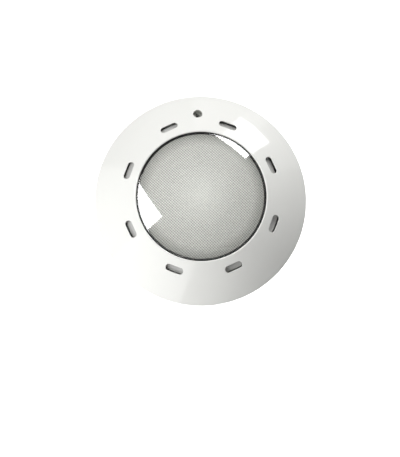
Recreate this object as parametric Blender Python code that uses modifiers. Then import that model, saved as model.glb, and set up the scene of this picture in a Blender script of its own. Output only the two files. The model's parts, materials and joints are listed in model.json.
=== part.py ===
"""Underwater pool light in its wall niche, as an assembly of separate pieces.

All lengths are in metres and +Z is up. The light looks along -Y into the pool and its axis is
the Y axis. The pieces are drawn with the finished pool wall at Y = 0 and the niche running into
it along +Y. At the end they all move together, so that the origin is the middle of the niche's
flat rear face.

Turned pieces are drawn as (radius, front) points, where front is the distance in front of the
piece's own origin along the way it faces. For a piece on the light's axis, front is -Y.
"""

import math

import bmesh
import bpy
from mathutils import Matrix, Vector

MM = 0.001

# ---------------------------------------------------------------- driving dimensions
RING_RADIUS = 90.0 * MM  # outer radius of the face ring
OPENING_RADIUS = 54.6 * MM  # the hole in the face ring that the lens shows through
CREST = 33.0 * MM  # the opening's edge stands this far in front of the wall
RIM_STANDOFF = 4.5 * MM  # gap behind the ring's rim, where the cooling water leaves
RING_WALL = 2.6 * MM
DOME_BOW = 1.4 * MM  # how far the ring's section bulges off a straight cone

SLOT_COUNT = 8
SLOT_CIRCLE = 64.8 * MM
SLOT_LENGTH = 15.2 * MM
SLOT_WIDTH = 5.2 * MM

PILOT_RADIUS = 72.0 * MM  # the pilot screw's distance above the light's axis
PILOT_BORE = 3.85 * MM  # radius of the well in the face ring
PILOT_SHANK = 1.95 * MM
PILOT_LENGTH = 14.0 * MM
PILOT_HEAD = 3.5 * MM
WASHER_THICKNESS = 1.0 * MM

HINGE_Z = -78.0 * MM  # the bead of the bottom hook, which the light tilts about
HINGE_Y = -2.75 * MM
BEAD_RADIUS = 1.3 * MM
HOOK_WIDTH = 22.0 * MM

NICHE_FLANGE = 5.5 * MM  # thickness of the niche's flange, all of it in front of the wall
NICHE_FLANGE_RADIUS = 82.0 * MM
NICHE_BORE = 70.0 * MM
NICHE_DEPTH = 95.0 * MM
NICHE_WALL = 3.0 * MM

LAMP_RADIUS = 66.3 * MM  # the lamp's flange and its clamp ring
HOUSING_RADIUS = 52.5 * MM
HOUSING_WALL = 2.8 * MM
HOUSING_DEPTH = 24.0 * MM  # the housing's main rear wall, behind the pool wall
CHAMBER_RADIUS = 30.0 * MM  # the driver chamber on the housing's back
CHAMBER_DEPTH = 45.0 * MM

CLAMP_SCREW_COUNT = 8
CLAMP_CIRCLE = 62.4 * MM
WALL_SCREW_COUNT = 4
WALL_SCREW_CIRCLE = 77.4 * MM
LED_COUNT = 8
LED_CIRCLE = 26.0 * MM

CABLE_RADIUS = 3.25 * MM
CABLE_CORE_RADIUS = 1.1 * MM
COIL_RADIUS = 56.0 * MM
COIL_PITCH = 11.0 * MM
GLAND_X = 39.0 * MM  # the lamp's cable gland points down, beside the driver chamber
GLAND_Y = 34.0 * MM
PORT_Z = 40.0 * MM  # the conduit port in the niche's rear wall

GAP = 0.3 * MM  # between pieces that rest on each other

# The stack of the sealed lamp, as distances in front of the wall.
FLANGE_BACK = NICHE_FLANGE + 0.4 * MM
FLANGE_FRONT = 9.0 * MM
LENS_FLANGE_FRONT = FLANGE_FRONT + GAP + 2.8 * MM
BOOT_FRONT = LENS_FLANGE_FRONT + GAP + 1.2 * MM
CLAMP_FRONT = 18.7 * MM
LENS_EDGE = CREST - 1.1 * MM
LENS_BULGE = 7.5 * MM

# Facings, as rotations that turn a piece's own +Z to the way it faces.
FRONT = (math.radians(90), 0, 0)
BACK = (math.radians(-90), 0, 0)
DOWN = (math.radians(180), 0, 0)

FINE, MEDIUM, SMALL, TINY = 64, 40, 16, 8  # segments round turned pieces


# ---------------------------------------------------------------- scene and materials
def clear_scene():
    for leftover in list(bpy.data.objects):
        bpy.data.objects.remove(leftover)


def new_collection(name):
    made = bpy.data.collections.new(name)
    bpy.context.scene.collection.children.link(made)
    return made


def new_material(name, colour, roughness, metallic=0.0, transmission=0.0):
    made = bpy.data.materials.new(name)
    made.use_nodes = True
    shader = made.node_tree.nodes["Principled BSDF"]
    shader.inputs["Base Color"].default_value = (*colour, 1.0)
    shader.inputs["Roughness"].default_value = roughness
    shader.inputs["Metallic"].default_value = metallic
    shader.inputs["Transmission Weight"].default_value = transmission
    made.diffuse_color = (*colour, 1.0)
    return made


# ---------------------------------------------------------------- modelling helpers
def bowed(start, end, bow, steps):
    """Points along the arc from start to end whose middle stands bow to the left of the chord."""
    start, end = Vector(start), Vector(end)
    chord = end - start
    along = chord.normalized()
    side = Vector((-along.y, along.x))
    radius = (chord.length_squared / 4 + bow * bow) / (2 * bow)
    centre = (start + end) / 2 - side * (radius - bow)
    half_turn = math.asin(chord.length / 2 / radius)
    angles = [half_turn * (2 * i / steps - 1) for i in range(steps + 1)]
    return [
        tuple(centre + side * radius * math.cos(a) + along * radius * math.sin(a))
        for a in angles
    ]


def on_circle(count, radius, first=0.0):
    """(angle, x, z) of evenly spaced places round the light's axis."""
    angles = [first + math.tau * i / count for i in range(count)]
    return [(a, radius * math.cos(a), radius * math.sin(a)) for a in angles]


def adopt(made, parent):
    """Parents it to an empty, and leaves it where it is."""
    made.parent = parent
    made.matrix_parent_inverse = Matrix.Translation(parent.location).inverted()


def place(made, look, at=(0, 0, 0), facing=FRONT, parent=None):
    made.location = at
    made.rotation_euler = facing
    made.data.materials.append(look)
    PARTS.objects.link(made)
    if parent:
        adopt(made, parent)
    return made


def smooth(mesh):
    mesh.shade_smooth()
    mesh.set_sharp_from_angle(angle=math.radians(35))


def turned(name, profile, look, segments=MEDIUM, closed=True, **where):
    """A solid of revolution. The profile runs down its outer side. closed joins its ends."""
    mesh = bpy.data.meshes.new(name)
    count = len(profile)
    edges = [(i, (i + 1) % count) for i in range(count if closed else count - 1)]
    mesh.from_pydata([(r, 0, front) for r, front in profile], edges, [])
    made = bpy.data.objects.new(name, mesh)
    place(made, look, **where)
    spin = made.modifiers.new("turn", "SCREW")
    spin.steps = spin.render_steps = segments
    spin.use_merge_vertices = True
    spin.merge_threshold = 0.00001
    spin.use_smooth_shade = True
    return made


def ring_profile(inner, outer, back, front):
    return [(inner, front), (outer, front), (outer, back), (inner, back)]


def from_bmesh(name, bm, look, **where):
    mesh = bpy.data.meshes.new(name)
    bm.to_mesh(mesh)
    bm.free()
    made = bpy.data.objects.new(name, mesh)
    return place(made, look, **where)


def add_cylinder(bm, radius, bottom, top, segments=SMALL, at=(0, 0)):
    """A cylinder along Z in the bmesh. Returns its points."""
    middle = Matrix.Translation((at[0], at[1], (bottom + top) / 2))
    return bmesh.ops.create_cone(
        bm,
        cap_ends=True,
        segments=segments,
        radius1=radius,
        radius2=radius,
        depth=top - bottom,
        matrix=middle,
    )["verts"]


def add_box(bm, low, high):
    low, high = Vector(low), Vector(high)
    points = bmesh.ops.create_cube(bm, size=1.0)["verts"]
    bmesh.ops.scale(bm, vec=high - low, verts=points)
    bmesh.ops.translate(bm, vec=(low + high) / 2, verts=points)
    return points


def cylinder(name, radius, bottom, top, look, segments=SMALL, **where):
    bm = bmesh.new()
    add_cylinder(bm, radius, bottom, top, segments)
    made = from_bmesh(name, bm, look, **where)
    smooth(made.data)
    return made


def box(name, low, high, look, **where):
    bm = bmesh.new()
    add_box(bm, low, high)
    return from_bmesh(name, bm, look, **where)


def prism(name, outline, width, look, **where):
    """A flat outline of (y, z) points, width thick along X and centred on it."""
    bm = bmesh.new()
    near = [bm.verts.new((-width / 2, y, z)) for y, z in outline]
    face = bm.faces.new(near)
    swept = bmesh.ops.extrude_face_region(bm, geom=[face])["geom"]
    far = [v for v in swept if isinstance(v, bmesh.types.BMVert)]
    bmesh.ops.translate(bm, vec=(width, 0, 0), verts=far)
    bmesh.ops.recalc_face_normals(bm, faces=bm.faces)
    return from_bmesh(name, bm, look, facing=(0, 0, 0), **where)


def tube(name, points, radius, look, parent=None, resolution=2):
    """A wire or cable along points, with filled ends."""
    curve = bpy.data.curves.new(name, "CURVE")
    curve.dimensions = "3D"
    curve.bevel_depth = radius
    curve.bevel_resolution = resolution
    curve.use_fill_caps = True
    spline = curve.splines.new("POLY")
    spline.points.add(len(points) - 1)
    for knot, point in zip(spline.points, points):
        knot.co = (*point, 1.0)
    made = bpy.data.objects.new(name, curve)
    return place(made, look, facing=(0, 0, 0), parent=parent)


def combine(target, tool, operation):
    """Cuts tool from target, or joins it to it. The tool becomes a hidden helper."""
    step = target.modifiers.new(tool.name, "BOOLEAN")
    step.operation = operation
    step.object = tool
    for holder in list(tool.users_collection):
        holder.objects.unlink(tool)
    CUTTERS.objects.link(tool)
    tool.hide_render = True
    tool.display_type = "WIRE"


def cut(target, tool):
    combine(target, tool, "DIFFERENCE")


def join(target, tool):
    combine(target, tool, "UNION")


def holes(name, places, radius, bottom, top, segments=TINY, **where):
    """One cutter with a round hole at each (angle, x, z) place round the light's axis."""
    bm = bmesh.new()
    for _, x, z in places:
        add_cylinder(bm, radius, bottom, top, segments, at=(x, z))
    return from_bmesh(name, bm, CUTTER_LOOK, **where)


def pan_head_screw(name, shank, length, head, look, segments=TINY, **where):
    """Its origin is under the head. The head is 0.7 of its own radius high, with a recess."""
    height, recess = 0.7 * head, 0.4 * head
    profile = [
        (0, height - recess),
        (0.35 * head, height - 0.8 * recess),
        (0.45 * head, height),
        (0.75 * head, height),
        (head, 0.45 * height),
        (head, 0),
        (shank, 0),
        (shank, shank - length),
        (0, -length),
    ]
    return turned(name, profile, look, segments, closed=False, **where)


def hermite(start, start_way, end, end_way, steps):
    """Points on the smooth curve that leaves start along start_way and arrives along end_way."""
    found = []
    for i in range(steps + 1):
        t = i / steps
        found.append(
            Vector(start) * (2 * t**3 - 3 * t**2 + 1)
            + Vector(start_way) * (t**3 - 2 * t**2 + t)
            + Vector(end) * (3 * t**2 - 2 * t**3)
            + Vector(end_way) * (t**3 - t**2)
        )
    return found


# ---------------------------------------------------------------- the face ring
DOME_TOP = (OPENING_RADIUS + 0.8 * MM, CREST)
DOME_FOOT = (RING_RADIUS - 0.8 * MM, RIM_STANDOFF + 2.2 * MM)


def dome_front(radius):
    """Height of the ring's outer surface at this radius."""
    points = bowed(DOME_TOP, DOME_FOOT, DOME_BOW, 40)
    for (r0, f0), (r1, f1) in zip(points, points[1:]):
        if r0 <= radius <= r1:
            return f0 + (f1 - f0) * (radius - r0) / (r1 - r0)
    raise ValueError("this radius is off the dome")


def face_ring_profile():
    lip = OPENING_RADIUS + 2.0 * MM
    lip_back = CLAMP_FRONT + GAP
    slope = math.atan2(DOME_TOP[1] - DOME_FOOT[1], DOME_FOOT[0] - DOME_TOP[0])
    drop = RING_WALL / math.cos(slope)
    inner_top = (lip, dome_front(lip) - drop)
    inner_foot = (RING_RADIUS - 2.6 * MM, RIM_STANDOFF)
    profile = [(OPENING_RADIUS, CREST - 0.8 * MM)]
    profile += bowed(DOME_TOP, DOME_FOOT, DOME_BOW, 5)
    profile += [(RING_RADIUS, RIM_STANDOFF + 1.2 * MM), (RING_RADIUS - 0.4 * MM, RIM_STANDOFF)]
    profile += reversed(bowed(inner_top, inner_foot, DOME_BOW, 3))
    profile += [(lip, lip_back), (OPENING_RADIUS, lip_back)]
    return profile


def slot_cutter():
    bm = bmesh.new()
    stretch = (SLOT_LENGTH - SLOT_WIDTH) / 2
    half_step = Matrix.Rotation(math.pi / SMALL, 4, "Z")
    for angle, x, z in on_circle(SLOT_COUNT, SLOT_CIRCLE, math.pi / SLOT_COUNT):
        points = add_cylinder(bm, SLOT_WIDTH / 2, CLAMP_FRONT + 1.5 * MM, CREST)
        bmesh.ops.transform(bm, matrix=half_step, verts=points)
        for point in points:
            point.co.x += math.copysign(stretch, point.co.x)
        turn = Matrix.Translation((x, z, 0)) @ Matrix.Rotation(angle + math.pi / 2, 4, "Z")
        bmesh.ops.transform(bm, matrix=turn, verts=points)
    return from_bmesh("slot_cutter", bm, CUTTER_LOOK)


def pilot_well():
    """The tube under the dome round the pilot screw, with its top buried in the ring's wall."""
    bm = bmesh.new()
    add_cylinder(bm, PILOT_BORE + 1.6 * MM, FLANGE_FRONT + GAP, CREST, at=(0, PILOT_RADIUS))
    for point in bm.verts:
        if point.co.z > CREST - MM:
            point.co.z = dome_front(point.co.xy.length) - 0.6 * RING_WALL
    return from_bmesh("pilot_well", bm, CUTTER_LOOK)


def snap_arm(number, angle):
    """A springy arm on the ring that clips behind the lamp's flange."""
    arm, tip = LAMP_RADIUS + 0.7 * MM, LAMP_RADIUS - 1.0 * MM
    catch = FLANGE_BACK - 0.2 * MM
    end = catch - 1.8 * MM
    outline = [
        (arm, 22.9 * MM),
        (arm + 2.0 * MM, 22.9 * MM),
        (arm + 2.0 * MM, end),
        (tip + 1.0 * MM, end),
        (tip, catch - 0.8 * MM),
        (tip, catch),
        (arm, catch),
    ]
    made = prism(f"snap_arm_{number}", outline, 10.0 * MM, CUTTER_LOOK)
    made.rotation_euler = (math.radians(90), math.pi / 2 - angle, 0)
    return made


def face_ring():
    made = turned("face_ring", face_ring_profile(), WHITE_ABS, FINE, parent=LIGHT_UNIT)
    join(made, pilot_well())
    for number, (angle, _, _) in enumerate(on_circle(4, LAMP_RADIUS, math.pi / 4), 1):
        join(made, snap_arm(number, angle))
    cut(made, slot_cutter())
    well = holes("pilot_well_bore", [PILOT_PLACE], PILOT_BORE, 8.0 * MM, CREST, SMALL)
    cut(made, well)
    return made


# ---------------------------------------------------------------- the sealed lamp
LENS_RADIUS = OPENING_RADIUS - 1.2 * MM
LENS_FLANGE = 60.3 * MM
LENS_WALL = 2.6 * MM  # the window; its skirt is thinner
LENS_SKIRT = LENS_RADIUS - 1.4 * MM  # inside radius of the skirt


def lens():
    """A domed window on a skirt, with a flange that the clamp ring holds down."""
    outside = bowed((0, LENS_EDGE + LENS_BULGE), (LENS_RADIUS - 0.8 * MM, LENS_EDGE), 1.9 * MM, 5)
    shrink = LENS_SKIRT / outside[-1][0]
    inside = [(r * shrink, front - LENS_WALL) for r, front in outside]
    profile = outside + [
        (LENS_RADIUS, LENS_EDGE - 0.8 * MM),
        (LENS_RADIUS, LENS_FLANGE_FRONT),
        (LENS_FLANGE, LENS_FLANGE_FRONT),
        (LENS_FLANGE, FLANGE_FRONT + GAP),
        (LENS_SKIRT, FLANGE_FRONT + GAP),
    ]
    profile += reversed(inside)
    return turned("lens", profile, CLEAR, closed=False, parent=LIGHT_UNIT)


def lens_boot():
    """The black rubber sleeve round the lens, whose foot seals under the clamp ring."""
    inner, outer = LENS_RADIUS + GAP, OPENING_RADIUS - GAP
    back = LENS_FLANGE_FRONT + GAP
    profile = [
        (inner, LENS_EDGE - 0.6 * MM),
        (outer, LENS_EDGE - 0.6 * MM),
        (outer, BOOT_FRONT),
        (LENS_FLANGE, BOOT_FRONT),
        (LENS_FLANGE, back),
        (inner, back),
    ]
    return turned("lens_boot", profile, BLACK_RUBBER, parent=LIGHT_UNIT)


ORING_RADIUS = 57.0 * MM
ORING_SECTION = 1.1 * MM


def o_ring(name, radius, section, segments, sides, **where):
    angles = [-math.tau * i / sides for i in range(sides)]
    profile = [(radius + section * math.cos(a), section * math.sin(a)) for a in angles]
    return turned(name, profile, BLACK_RUBBER, segments, **where)


BAFFLE_FOOT = OPENING_RADIUS + 2.8 * MM
BAFFLE_TOP = OPENING_RADIUS + 4.0 * MM
BAFFLE_GAP = 1.0 * MM  # the way for the water between a baffle and the face ring's underside
SCREW_BAY = 8.4 * MM  # the width of the gap between two baffles, for a clamp screw


def baffle_front(radius):
    slope = math.atan2(DOME_TOP[1] - DOME_FOOT[1], DOME_FOOT[0] - DOME_TOP[0])
    return dome_front(radius) - RING_WALL / math.cos(slope) - BAFFLE_GAP


def screw_bays():
    """Gaps across the clamp ring that leave eight baffles, one behind each slot."""
    bm = bmesh.new()
    for angle, _, _ in CLAMP_PLACES[: CLAMP_SCREW_COUNT // 2]:
        low = (-LAMP_RADIUS - MM, -SCREW_BAY / 2, CLAMP_FRONT)
        points = add_box(bm, low, (LAMP_RADIUS + MM, SCREW_BAY / 2, CREST))
        bmesh.ops.transform(bm, matrix=Matrix.Rotation(angle, 4, "Z"), verts=points)
    return from_bmesh("screw_bays", bm, CUTTER_LOOK)


def clamp_ring():
    """It presses the boot and the lens flange onto the housing, and its baffles shield the slots."""
    inner = OPENING_RADIUS + 0.3 * MM
    skirt = LENS_FLANGE + 0.5 * MM
    profile = [
        (inner, CLAMP_FRONT),
        (BAFFLE_FOOT, CLAMP_FRONT),
        (BAFFLE_TOP, baffle_front(BAFFLE_TOP)),
        (LAMP_RADIUS, baffle_front(LAMP_RADIUS)),
        (LAMP_RADIUS, FLANGE_FRONT + GAP),
        (skirt, FLANGE_FRONT + GAP),
        (skirt, BOOT_FRONT + GAP),
        (inner, BOOT_FRONT + GAP),
    ]
    made = turned("clamp_ring", profile, WHITE_ABS, parent=LIGHT_UNIT)
    cut(made, screw_bays())
    cut(made, holes("clamp_holes", CLAMP_PLACES, 1.9 * MM, 0, CREST))
    return made


def housing_profile():
    """The cup behind the lens, with a groove for the O-ring and the driver chamber behind."""
    inner = HOUSING_RADIUS - HOUSING_WALL
    ledge = inner - 2.4 * MM
    groove = ORING_SECTION + 0.25 * MM
    return [
        (0, HOUSING_WALL - CHAMBER_DEPTH),
        (CHAMBER_RADIUS - HOUSING_WALL, HOUSING_WALL - CHAMBER_DEPTH),
        (CHAMBER_RADIUS - HOUSING_WALL, HOUSING_WALL - HOUSING_DEPTH),
        (ledge, HOUSING_WALL - HOUSING_DEPTH),
        (ledge, 1.8 * MM),
        (inner, 1.8 * MM),
        (inner, FLANGE_FRONT),
        (ORING_RADIUS - groove, FLANGE_FRONT),
        (ORING_RADIUS - groove, FLANGE_FRONT - 2.2 * MM),
        (ORING_RADIUS + groove, FLANGE_FRONT - 2.2 * MM),
        (ORING_RADIUS + groove, FLANGE_FRONT),
        (LAMP_RADIUS, FLANGE_FRONT),
        (LAMP_RADIUS, FLANGE_BACK),
        (HOUSING_RADIUS, FLANGE_BACK),
        (HOUSING_RADIUS - 1.0 * MM, 1.5 * MM - HOUSING_DEPTH),
        (HOUSING_RADIUS - 2.5 * MM, -HOUSING_DEPTH),
        (CHAMBER_RADIUS, -HOUSING_DEPTH),
        (CHAMBER_RADIUS, 2.0 * MM - CHAMBER_DEPTH),
        (CHAMBER_RADIUS - 2.0 * MM, -CHAMBER_DEPTH),
        (0, -CHAMBER_DEPTH),
    ]


def hook():
    """The arm under the lamp's flange, bent back over the niche's lip to the hinge bead."""
    front, back = -FLANGE_FRONT + 0.2 * MM, -FLANGE_BACK - 0.2 * MM
    thick = 0.8 * MM
    low, high = HINGE_Z + 2.4 * MM, HINGE_Z + 4.4 * MM
    reach = math.asin(thick / BEAD_RADIUS)
    sweep = [reach + math.pi / 2 + i / 8 * (math.tau - 2 * reach) for i in range(9)]
    bead = [(HINGE_Y + BEAD_RADIUS * math.cos(a), HINGE_Z + BEAD_RADIUS * math.sin(a)) for a in sweep]
    outline = [(back, -60.0 * MM), (front, -60.0 * MM), (front, low), (HINGE_Y - thick, low)]
    outline += bead + [(HINGE_Y + thick, high), (back, high)]
    return prism("hook", outline, HOOK_WIDTH, CUTTER_LOOK)


def pilot_ear():
    low, high = 60.0 * MM, PILOT_RADIUS + 6.0 * MM
    size = (7.0 * MM, -FLANGE_BACK - 0.2 * MM, high)
    return box("pilot_ear", (-size[0], -FLANGE_FRONT + 0.2 * MM, low), size, CUTTER_LOOK, facing=(0, 0, 0))


GLAND_FACE = -6.0 * MM  # the lower face of the arm that the lamp's gland screws into


def gland_arm(made):
    """A hollow arm beside the driver chamber: the gland screws into it from below."""
    arm = cylinder("gland_arm", 9.0 * MM, GLAND_FACE, 9.0 * MM, CUTTER_LOOK, at=GLAND_AT, facing=(0, 0, 0))
    web = box(
        "gland_web",
        (27.8 * MM, GLAND_Y - 7.5 * MM, GLAND_FACE + 0.5 * MM),
        (GLAND_X, GLAND_Y + 7.5 * MM, 8.5 * MM),
        CUTTER_LOOK,
        facing=(0, 0, 0),
    )
    join(made, arm)
    join(made, web)
    bore = cylinder("gland_bore", 6.1 * MM, -9.0 * MM, 6.0 * MM, CUTTER_LOOK, at=GLAND_AT, facing=(0, 0, 0))
    cut(made, bore)
    way_in = cylinder("wire_way", 2.9 * MM, 20.0 * MM, GLAND_X, CUTTER_LOOK, segments=12)
    way_in.rotation_euler = (0, math.radians(90), 0)
    way_in.location = (0, GLAND_Y, 2.9 * MM)
    cut(made, way_in)


def housing():
    made = turned("housing", housing_profile(), GREY_ABS, closed=False, parent=LIGHT_UNIT)
    join(made, pilot_ear())
    join(made, hook())
    gland_arm(made)
    cut(made, holes("pilot_ear_hole", [PILOT_PLACE], 2.4 * MM, 0, CREST, 12))
    cut(made, holes("housing_screw_holes", CLAMP_PLACES, 1.9 * MM, 0, CREST))
    return made


def sealed_lamp():
    housing()
    lens()
    lens_boot()
    seat = FLANGE_FRONT - ORING_SECTION
    o_ring("lens_oring", ORING_RADIUS, ORING_SECTION, MEDIUM, 6, at=(0, -seat, 0), parent=LIGHT_UNIT)
    clamp_ring()
    for number, (_, x, z) in enumerate(CLAMP_PLACES, 1):
        pan_head_screw(
            f"clamp_screw_{number}",
            shank=1.6 * MM,
            length=14.5 * MM,
            head=3.1 * MM,
            look=STEEL,
            at=(x, -CLAMP_FRONT - GAP, z),
            parent=LIGHT_UNIT,
        )


# ---------------------------------------------------------------- optics and electronics
HEAT_SINK_FRONT = 5.0 * MM
BOARD_FRONT = HEAT_SINK_FRONT + GAP + 1.6 * MM
HEAT_SINK_BACK = -12.0 * MM
HEAT_SINK_RADIUS = 49.3 * MM
BOARD_SCREW_CIRCLE = 36.0 * MM
LEAD_X, LEAD_Z = 3.0 * MM, -31.0 * MM
DRIVER_BOARD_BACK = 28.6 * MM
DRIVER_BOARD_THICK = 1.6 * MM
DRIVER_BOARD_RADIUS = 25.5 * MM


def heat_sink():
    """A cast plate that fills the housing's mouth, with upright fins behind it."""
    body = HEAT_SINK_RADIUS - 3.2 * MM
    plate_back = 2.0 * MM
    profile = [
        (0, HEAT_SINK_FRONT),
        (HEAT_SINK_RADIUS, HEAT_SINK_FRONT),
        (HEAT_SINK_RADIUS, plate_back),
        (body, plate_back),
        (body, HEAT_SINK_BACK),
        (0, HEAT_SINK_BACK),
    ]
    made = turned("heat_sink", profile, CAST_ALUMINIUM, closed=False, parent=LIGHT_UNIT)
    bm = bmesh.new()
    gap_count, pitch, gap_width = 7, 11.5 * MM, 8.5 * MM
    for i in range(gap_count):
        x = (i - (gap_count - 1) / 2) * pitch
        low = (x - gap_width / 2, -60 * MM, HEAT_SINK_BACK - 5 * MM)
        add_box(bm, low, (x + gap_width / 2, 60 * MM, 0.8 * MM))
    cut(made, from_bmesh("fin_gaps", bm, CUTTER_LOOK))
    cut(made, holes("board_screw_taps", BOARD_SCREW_PLACES, 1.35 * MM, -2.0 * MM, CREST, 8))
    lead_slot = box(
        "lead_slot",
        (-6.0 * MM, LEAD_Z - 3.0 * MM, HEAT_SINK_BACK - 5 * MM),
        (6.0 * MM, LEAD_Z + 3.0 * MM, CREST),
        CUTTER_LOOK,
    )
    cut(made, lead_slot)
    return made


def led_board():
    back = HEAT_SINK_FRONT + GAP
    profile = [
        (0, BOARD_FRONT),
        (HEAT_SINK_RADIUS, BOARD_FRONT),
        (HEAT_SINK_RADIUS, back),
        (0, back),
    ]
    made = turned("led_board", profile, WHITE_BOARD, closed=False, parent=LIGHT_UNIT)
    cut(made, holes("board_screw_holes", BOARD_SCREW_PLACES, 1.7 * MM, 0, CREST, 8))
    leads = [(0, x, LEAD_Z) for x in (-LEAD_X, LEAD_X)]
    cut(made, holes("lead_holes", leads, 1.2 * MM, 0, CREST, 8))
    return made


def emitter(number, x, z):
    """A one-watt LED: a ceramic foot with a small clear dome."""
    profile = [
        (0, 2.6 * MM),
        (1.3 * MM, 2.1 * MM),
        (1.8 * MM, 1.0 * MM),
        (3.2 * MM, 0.9 * MM),
        (3.2 * MM, 0),
        (0, 0),
    ]
    at = (x, -BOARD_FRONT - GAP, z)
    return turned(f"led_{number}", profile, LED_YELLOW, 8, closed=False, at=at, parent=LIGHT_UNIT)


def reflector():
    """The white cone between the LED board and the lens, which makes the window look even."""
    foot, mouth, thick = 41.0 * MM, LENS_SKIRT - 1.0 * MM, 1.2 * MM
    base, top = BOARD_FRONT + GAP, LENS_EDGE - 5.5 * MM
    profile = [
        (mouth - thick, top),
        (mouth, top),
        (mouth, top - 3.0 * MM),
        (foot + 3.5 * MM, base + 1.4 * MM),
        (foot + 3.5 * MM, base),
        (foot, base),
        (foot, base + 1.4 * MM),
    ]
    return turned("reflector", profile, WHITE_ABS, parent=LIGHT_UNIT)


def driver():
    """The driver board in the chamber, on spacers, with its main components on both sides."""
    front = DRIVER_BOARD_BACK - DRIVER_BOARD_THICK
    cylinder(
        "driver_board",
        DRIVER_BOARD_RADIUS,
        -DRIVER_BOARD_BACK,
        -front,
        GREEN_BOARD,
        segments=32,
        parent=LIGHT_UNIT,
    )
    spacer_end = CHAMBER_DEPTH - HOUSING_WALL - GAP
    for number, (_, x, z) in enumerate(on_circle(3, 20.0 * MM, math.pi / 2), 1):
        cylinder(
            f"driver_spacer_{number}",
            2.6 * MM,
            -spacer_end,
            -DRIVER_BOARD_BACK - GAP,
            BRASS,
            segments=6,
            at=(x, 0, z),
            parent=LIGHT_UNIT,
        )
    capacitor = cylinder("capacitor", 5.0 * MM, GAP, 11.5 * MM, BLACK_PLASTIC, at=(-9 * MM, front, 8 * MM))
    adopt(capacitor, LIGHT_UNIT)
    coil = [(2.6 * MM, 6.5 * MM), (6.5 * MM, 6.5 * MM), (6.5 * MM, 0), (2.6 * MM, 0)]
    where = dict(at=(8 * MM, front - GAP, 9 * MM), parent=LIGHT_UNIT)
    turned("inductor", coil, COPPER, SMALL, **where)
    chip_low, chip_high = (-12 * MM, front - 6 * MM, -13 * MM), (0, front - GAP, -5 * MM)
    box("rectifier", chip_low, chip_high, BLACK_PLASTIC, facing=(0, 0, 0), parent=LIGHT_UNIT)
    block_low = (9.5 * MM, DRIVER_BOARD_BACK + GAP, -4.0 * MM)
    block_high = (17.5 * MM, DRIVER_BOARD_BACK + 9.0 * MM, 8.5 * MM)
    box("terminal_block", block_low, block_high, GREEN_PLASTIC, facing=(0, 0, 0), parent=LIGHT_UNIT)


def led_leads():
    """Two wires from the driver through the heat sink, up to the back of the LED board."""
    ends = (("led_lead_red", -LEAD_X, RED_WIRE), ("led_lead_black", LEAD_X, BLACK_PLASTIC))
    for name, x, look in ends:
        board = (x, -BOARD_FRONT - 0.6 * MM, LEAD_Z)
        driver_end = (2 * x, DRIVER_BOARD_BACK - DRIVER_BOARD_THICK - 0.4 * MM, -17.0 * MM)
        behind_fins = (x, -HEAT_SINK_BACK + 1.0 * MM, LEAD_Z)
        away = (0, 12 * MM, 0)
        points = [board] + hermite(behind_fins, away, driver_end, away, 7)
        tube(name, points, 0.8 * MM, look, parent=LIGHT_UNIT, resolution=0)


def electronics():
    heat_sink()
    led_board()
    for number, (_, x, z) in enumerate(on_circle(LED_COUNT, LED_CIRCLE), 1):
        emitter(number, x, z)
    for number, (_, x, z) in enumerate(BOARD_SCREW_PLACES, 1):
        pan_head_screw(
            f"board_screw_{number}",
            shank=1.2 * MM,
            length=8.0 * MM,
            head=2.6 * MM,
            look=STEEL,
            at=(x, -BOARD_FRONT - GAP, z),
            parent=LIGHT_UNIT,
        )
    reflector()
    driver()
    led_leads()


# ---------------------------------------------------------------- glands and cable
def gland(prefix, at, facing, parent, stub_radius, stub_length):
    """A compression gland. Its origin is on the face it screws into, and it points along +Z."""
    where = dict(at=at, facing=facing, parent=parent)
    bore = CABLE_RADIUS + 0.3 * MM
    body = [
        (bore, 10.5 * MM),
        (6.2 * MM, 10.5 * MM),
        (6.2 * MM, 4.6 * MM),
        (8.6 * MM, 4.6 * MM),
        (8.6 * MM, 0.4 * MM),
        (stub_radius, 0.4 * MM),
        (stub_radius, -stub_length),
        (bore, -stub_length),
    ]
    turned(f"{prefix}_body", body, BLACK_PLASTIC, 12, **where)
    seal = [
        (bore, 15.6 * MM),
        (4.9 * MM, 15.6 * MM),
        (5.6 * MM, 10.9 * MM),
        (bore, 10.9 * MM),
    ]
    turned(f"{prefix}_seal", seal, BLACK_RUBBER, 12, **where)
    nut = [
        (bore + 0.2 * MM, 18.6 * MM),
        (5.8 * MM, 18.6 * MM),
        (8.4 * MM, 13.0 * MM),
        (8.4 * MM, 5.2 * MM),
        (6.6 * MM, 5.2 * MM),
        (6.6 * MM, 12.5 * MM),
        (5.3 * MM, 16.4 * MM),
        (bore + 0.2 * MM, 16.4 * MM),
    ]
    turned(f"{prefix}_nut", nut, BLACK_PLASTIC, 12, **where)


def coil_point(angle, y):
    return Vector((COIL_RADIUS * math.cos(angle), y, COIL_RADIUS * math.sin(angle)))


def cable_path():
    """From the lamp's gland, once and a half round the niche, and out through the port."""
    mouth = Vector((GLAND_X, GLAND_Y, GLAND_FACE - 28.0 * MM))
    start = mouth - Vector((0, 0, 3.0 * MM))
    first, last = math.radians(-80), math.radians(-80 - 510)
    turns = (first - last) / math.tau
    y0 = GLAND_Y + 3.0 * MM
    steps = 34
    coil = []
    for i in range(steps + 1):
        angle = first + (last - first) * i / steps
        coil.append(coil_point(angle, y0 + COIL_PITCH * turns * i / steps))

    def way(angle, length):
        return Vector((math.sin(angle), 0, -math.cos(angle))) * length

    lead_in = [mouth] + hermite(start, (0, 0, -34 * MM), coil[0], way(first, 34 * MM), 7)
    port = Vector((0, NICHE_DEPTH - NICHE_WALL - 20.0 * MM, PORT_Z))
    lead_out = hermite(coil[-1], way(last, 40 * MM), port, (0, 45 * MM, 0), 8)
    tail = Vector((0, NICHE_DEPTH + 50.0 * MM, PORT_Z))
    return lead_in[:-1] + coil + lead_out[1:] + [tail]


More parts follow.
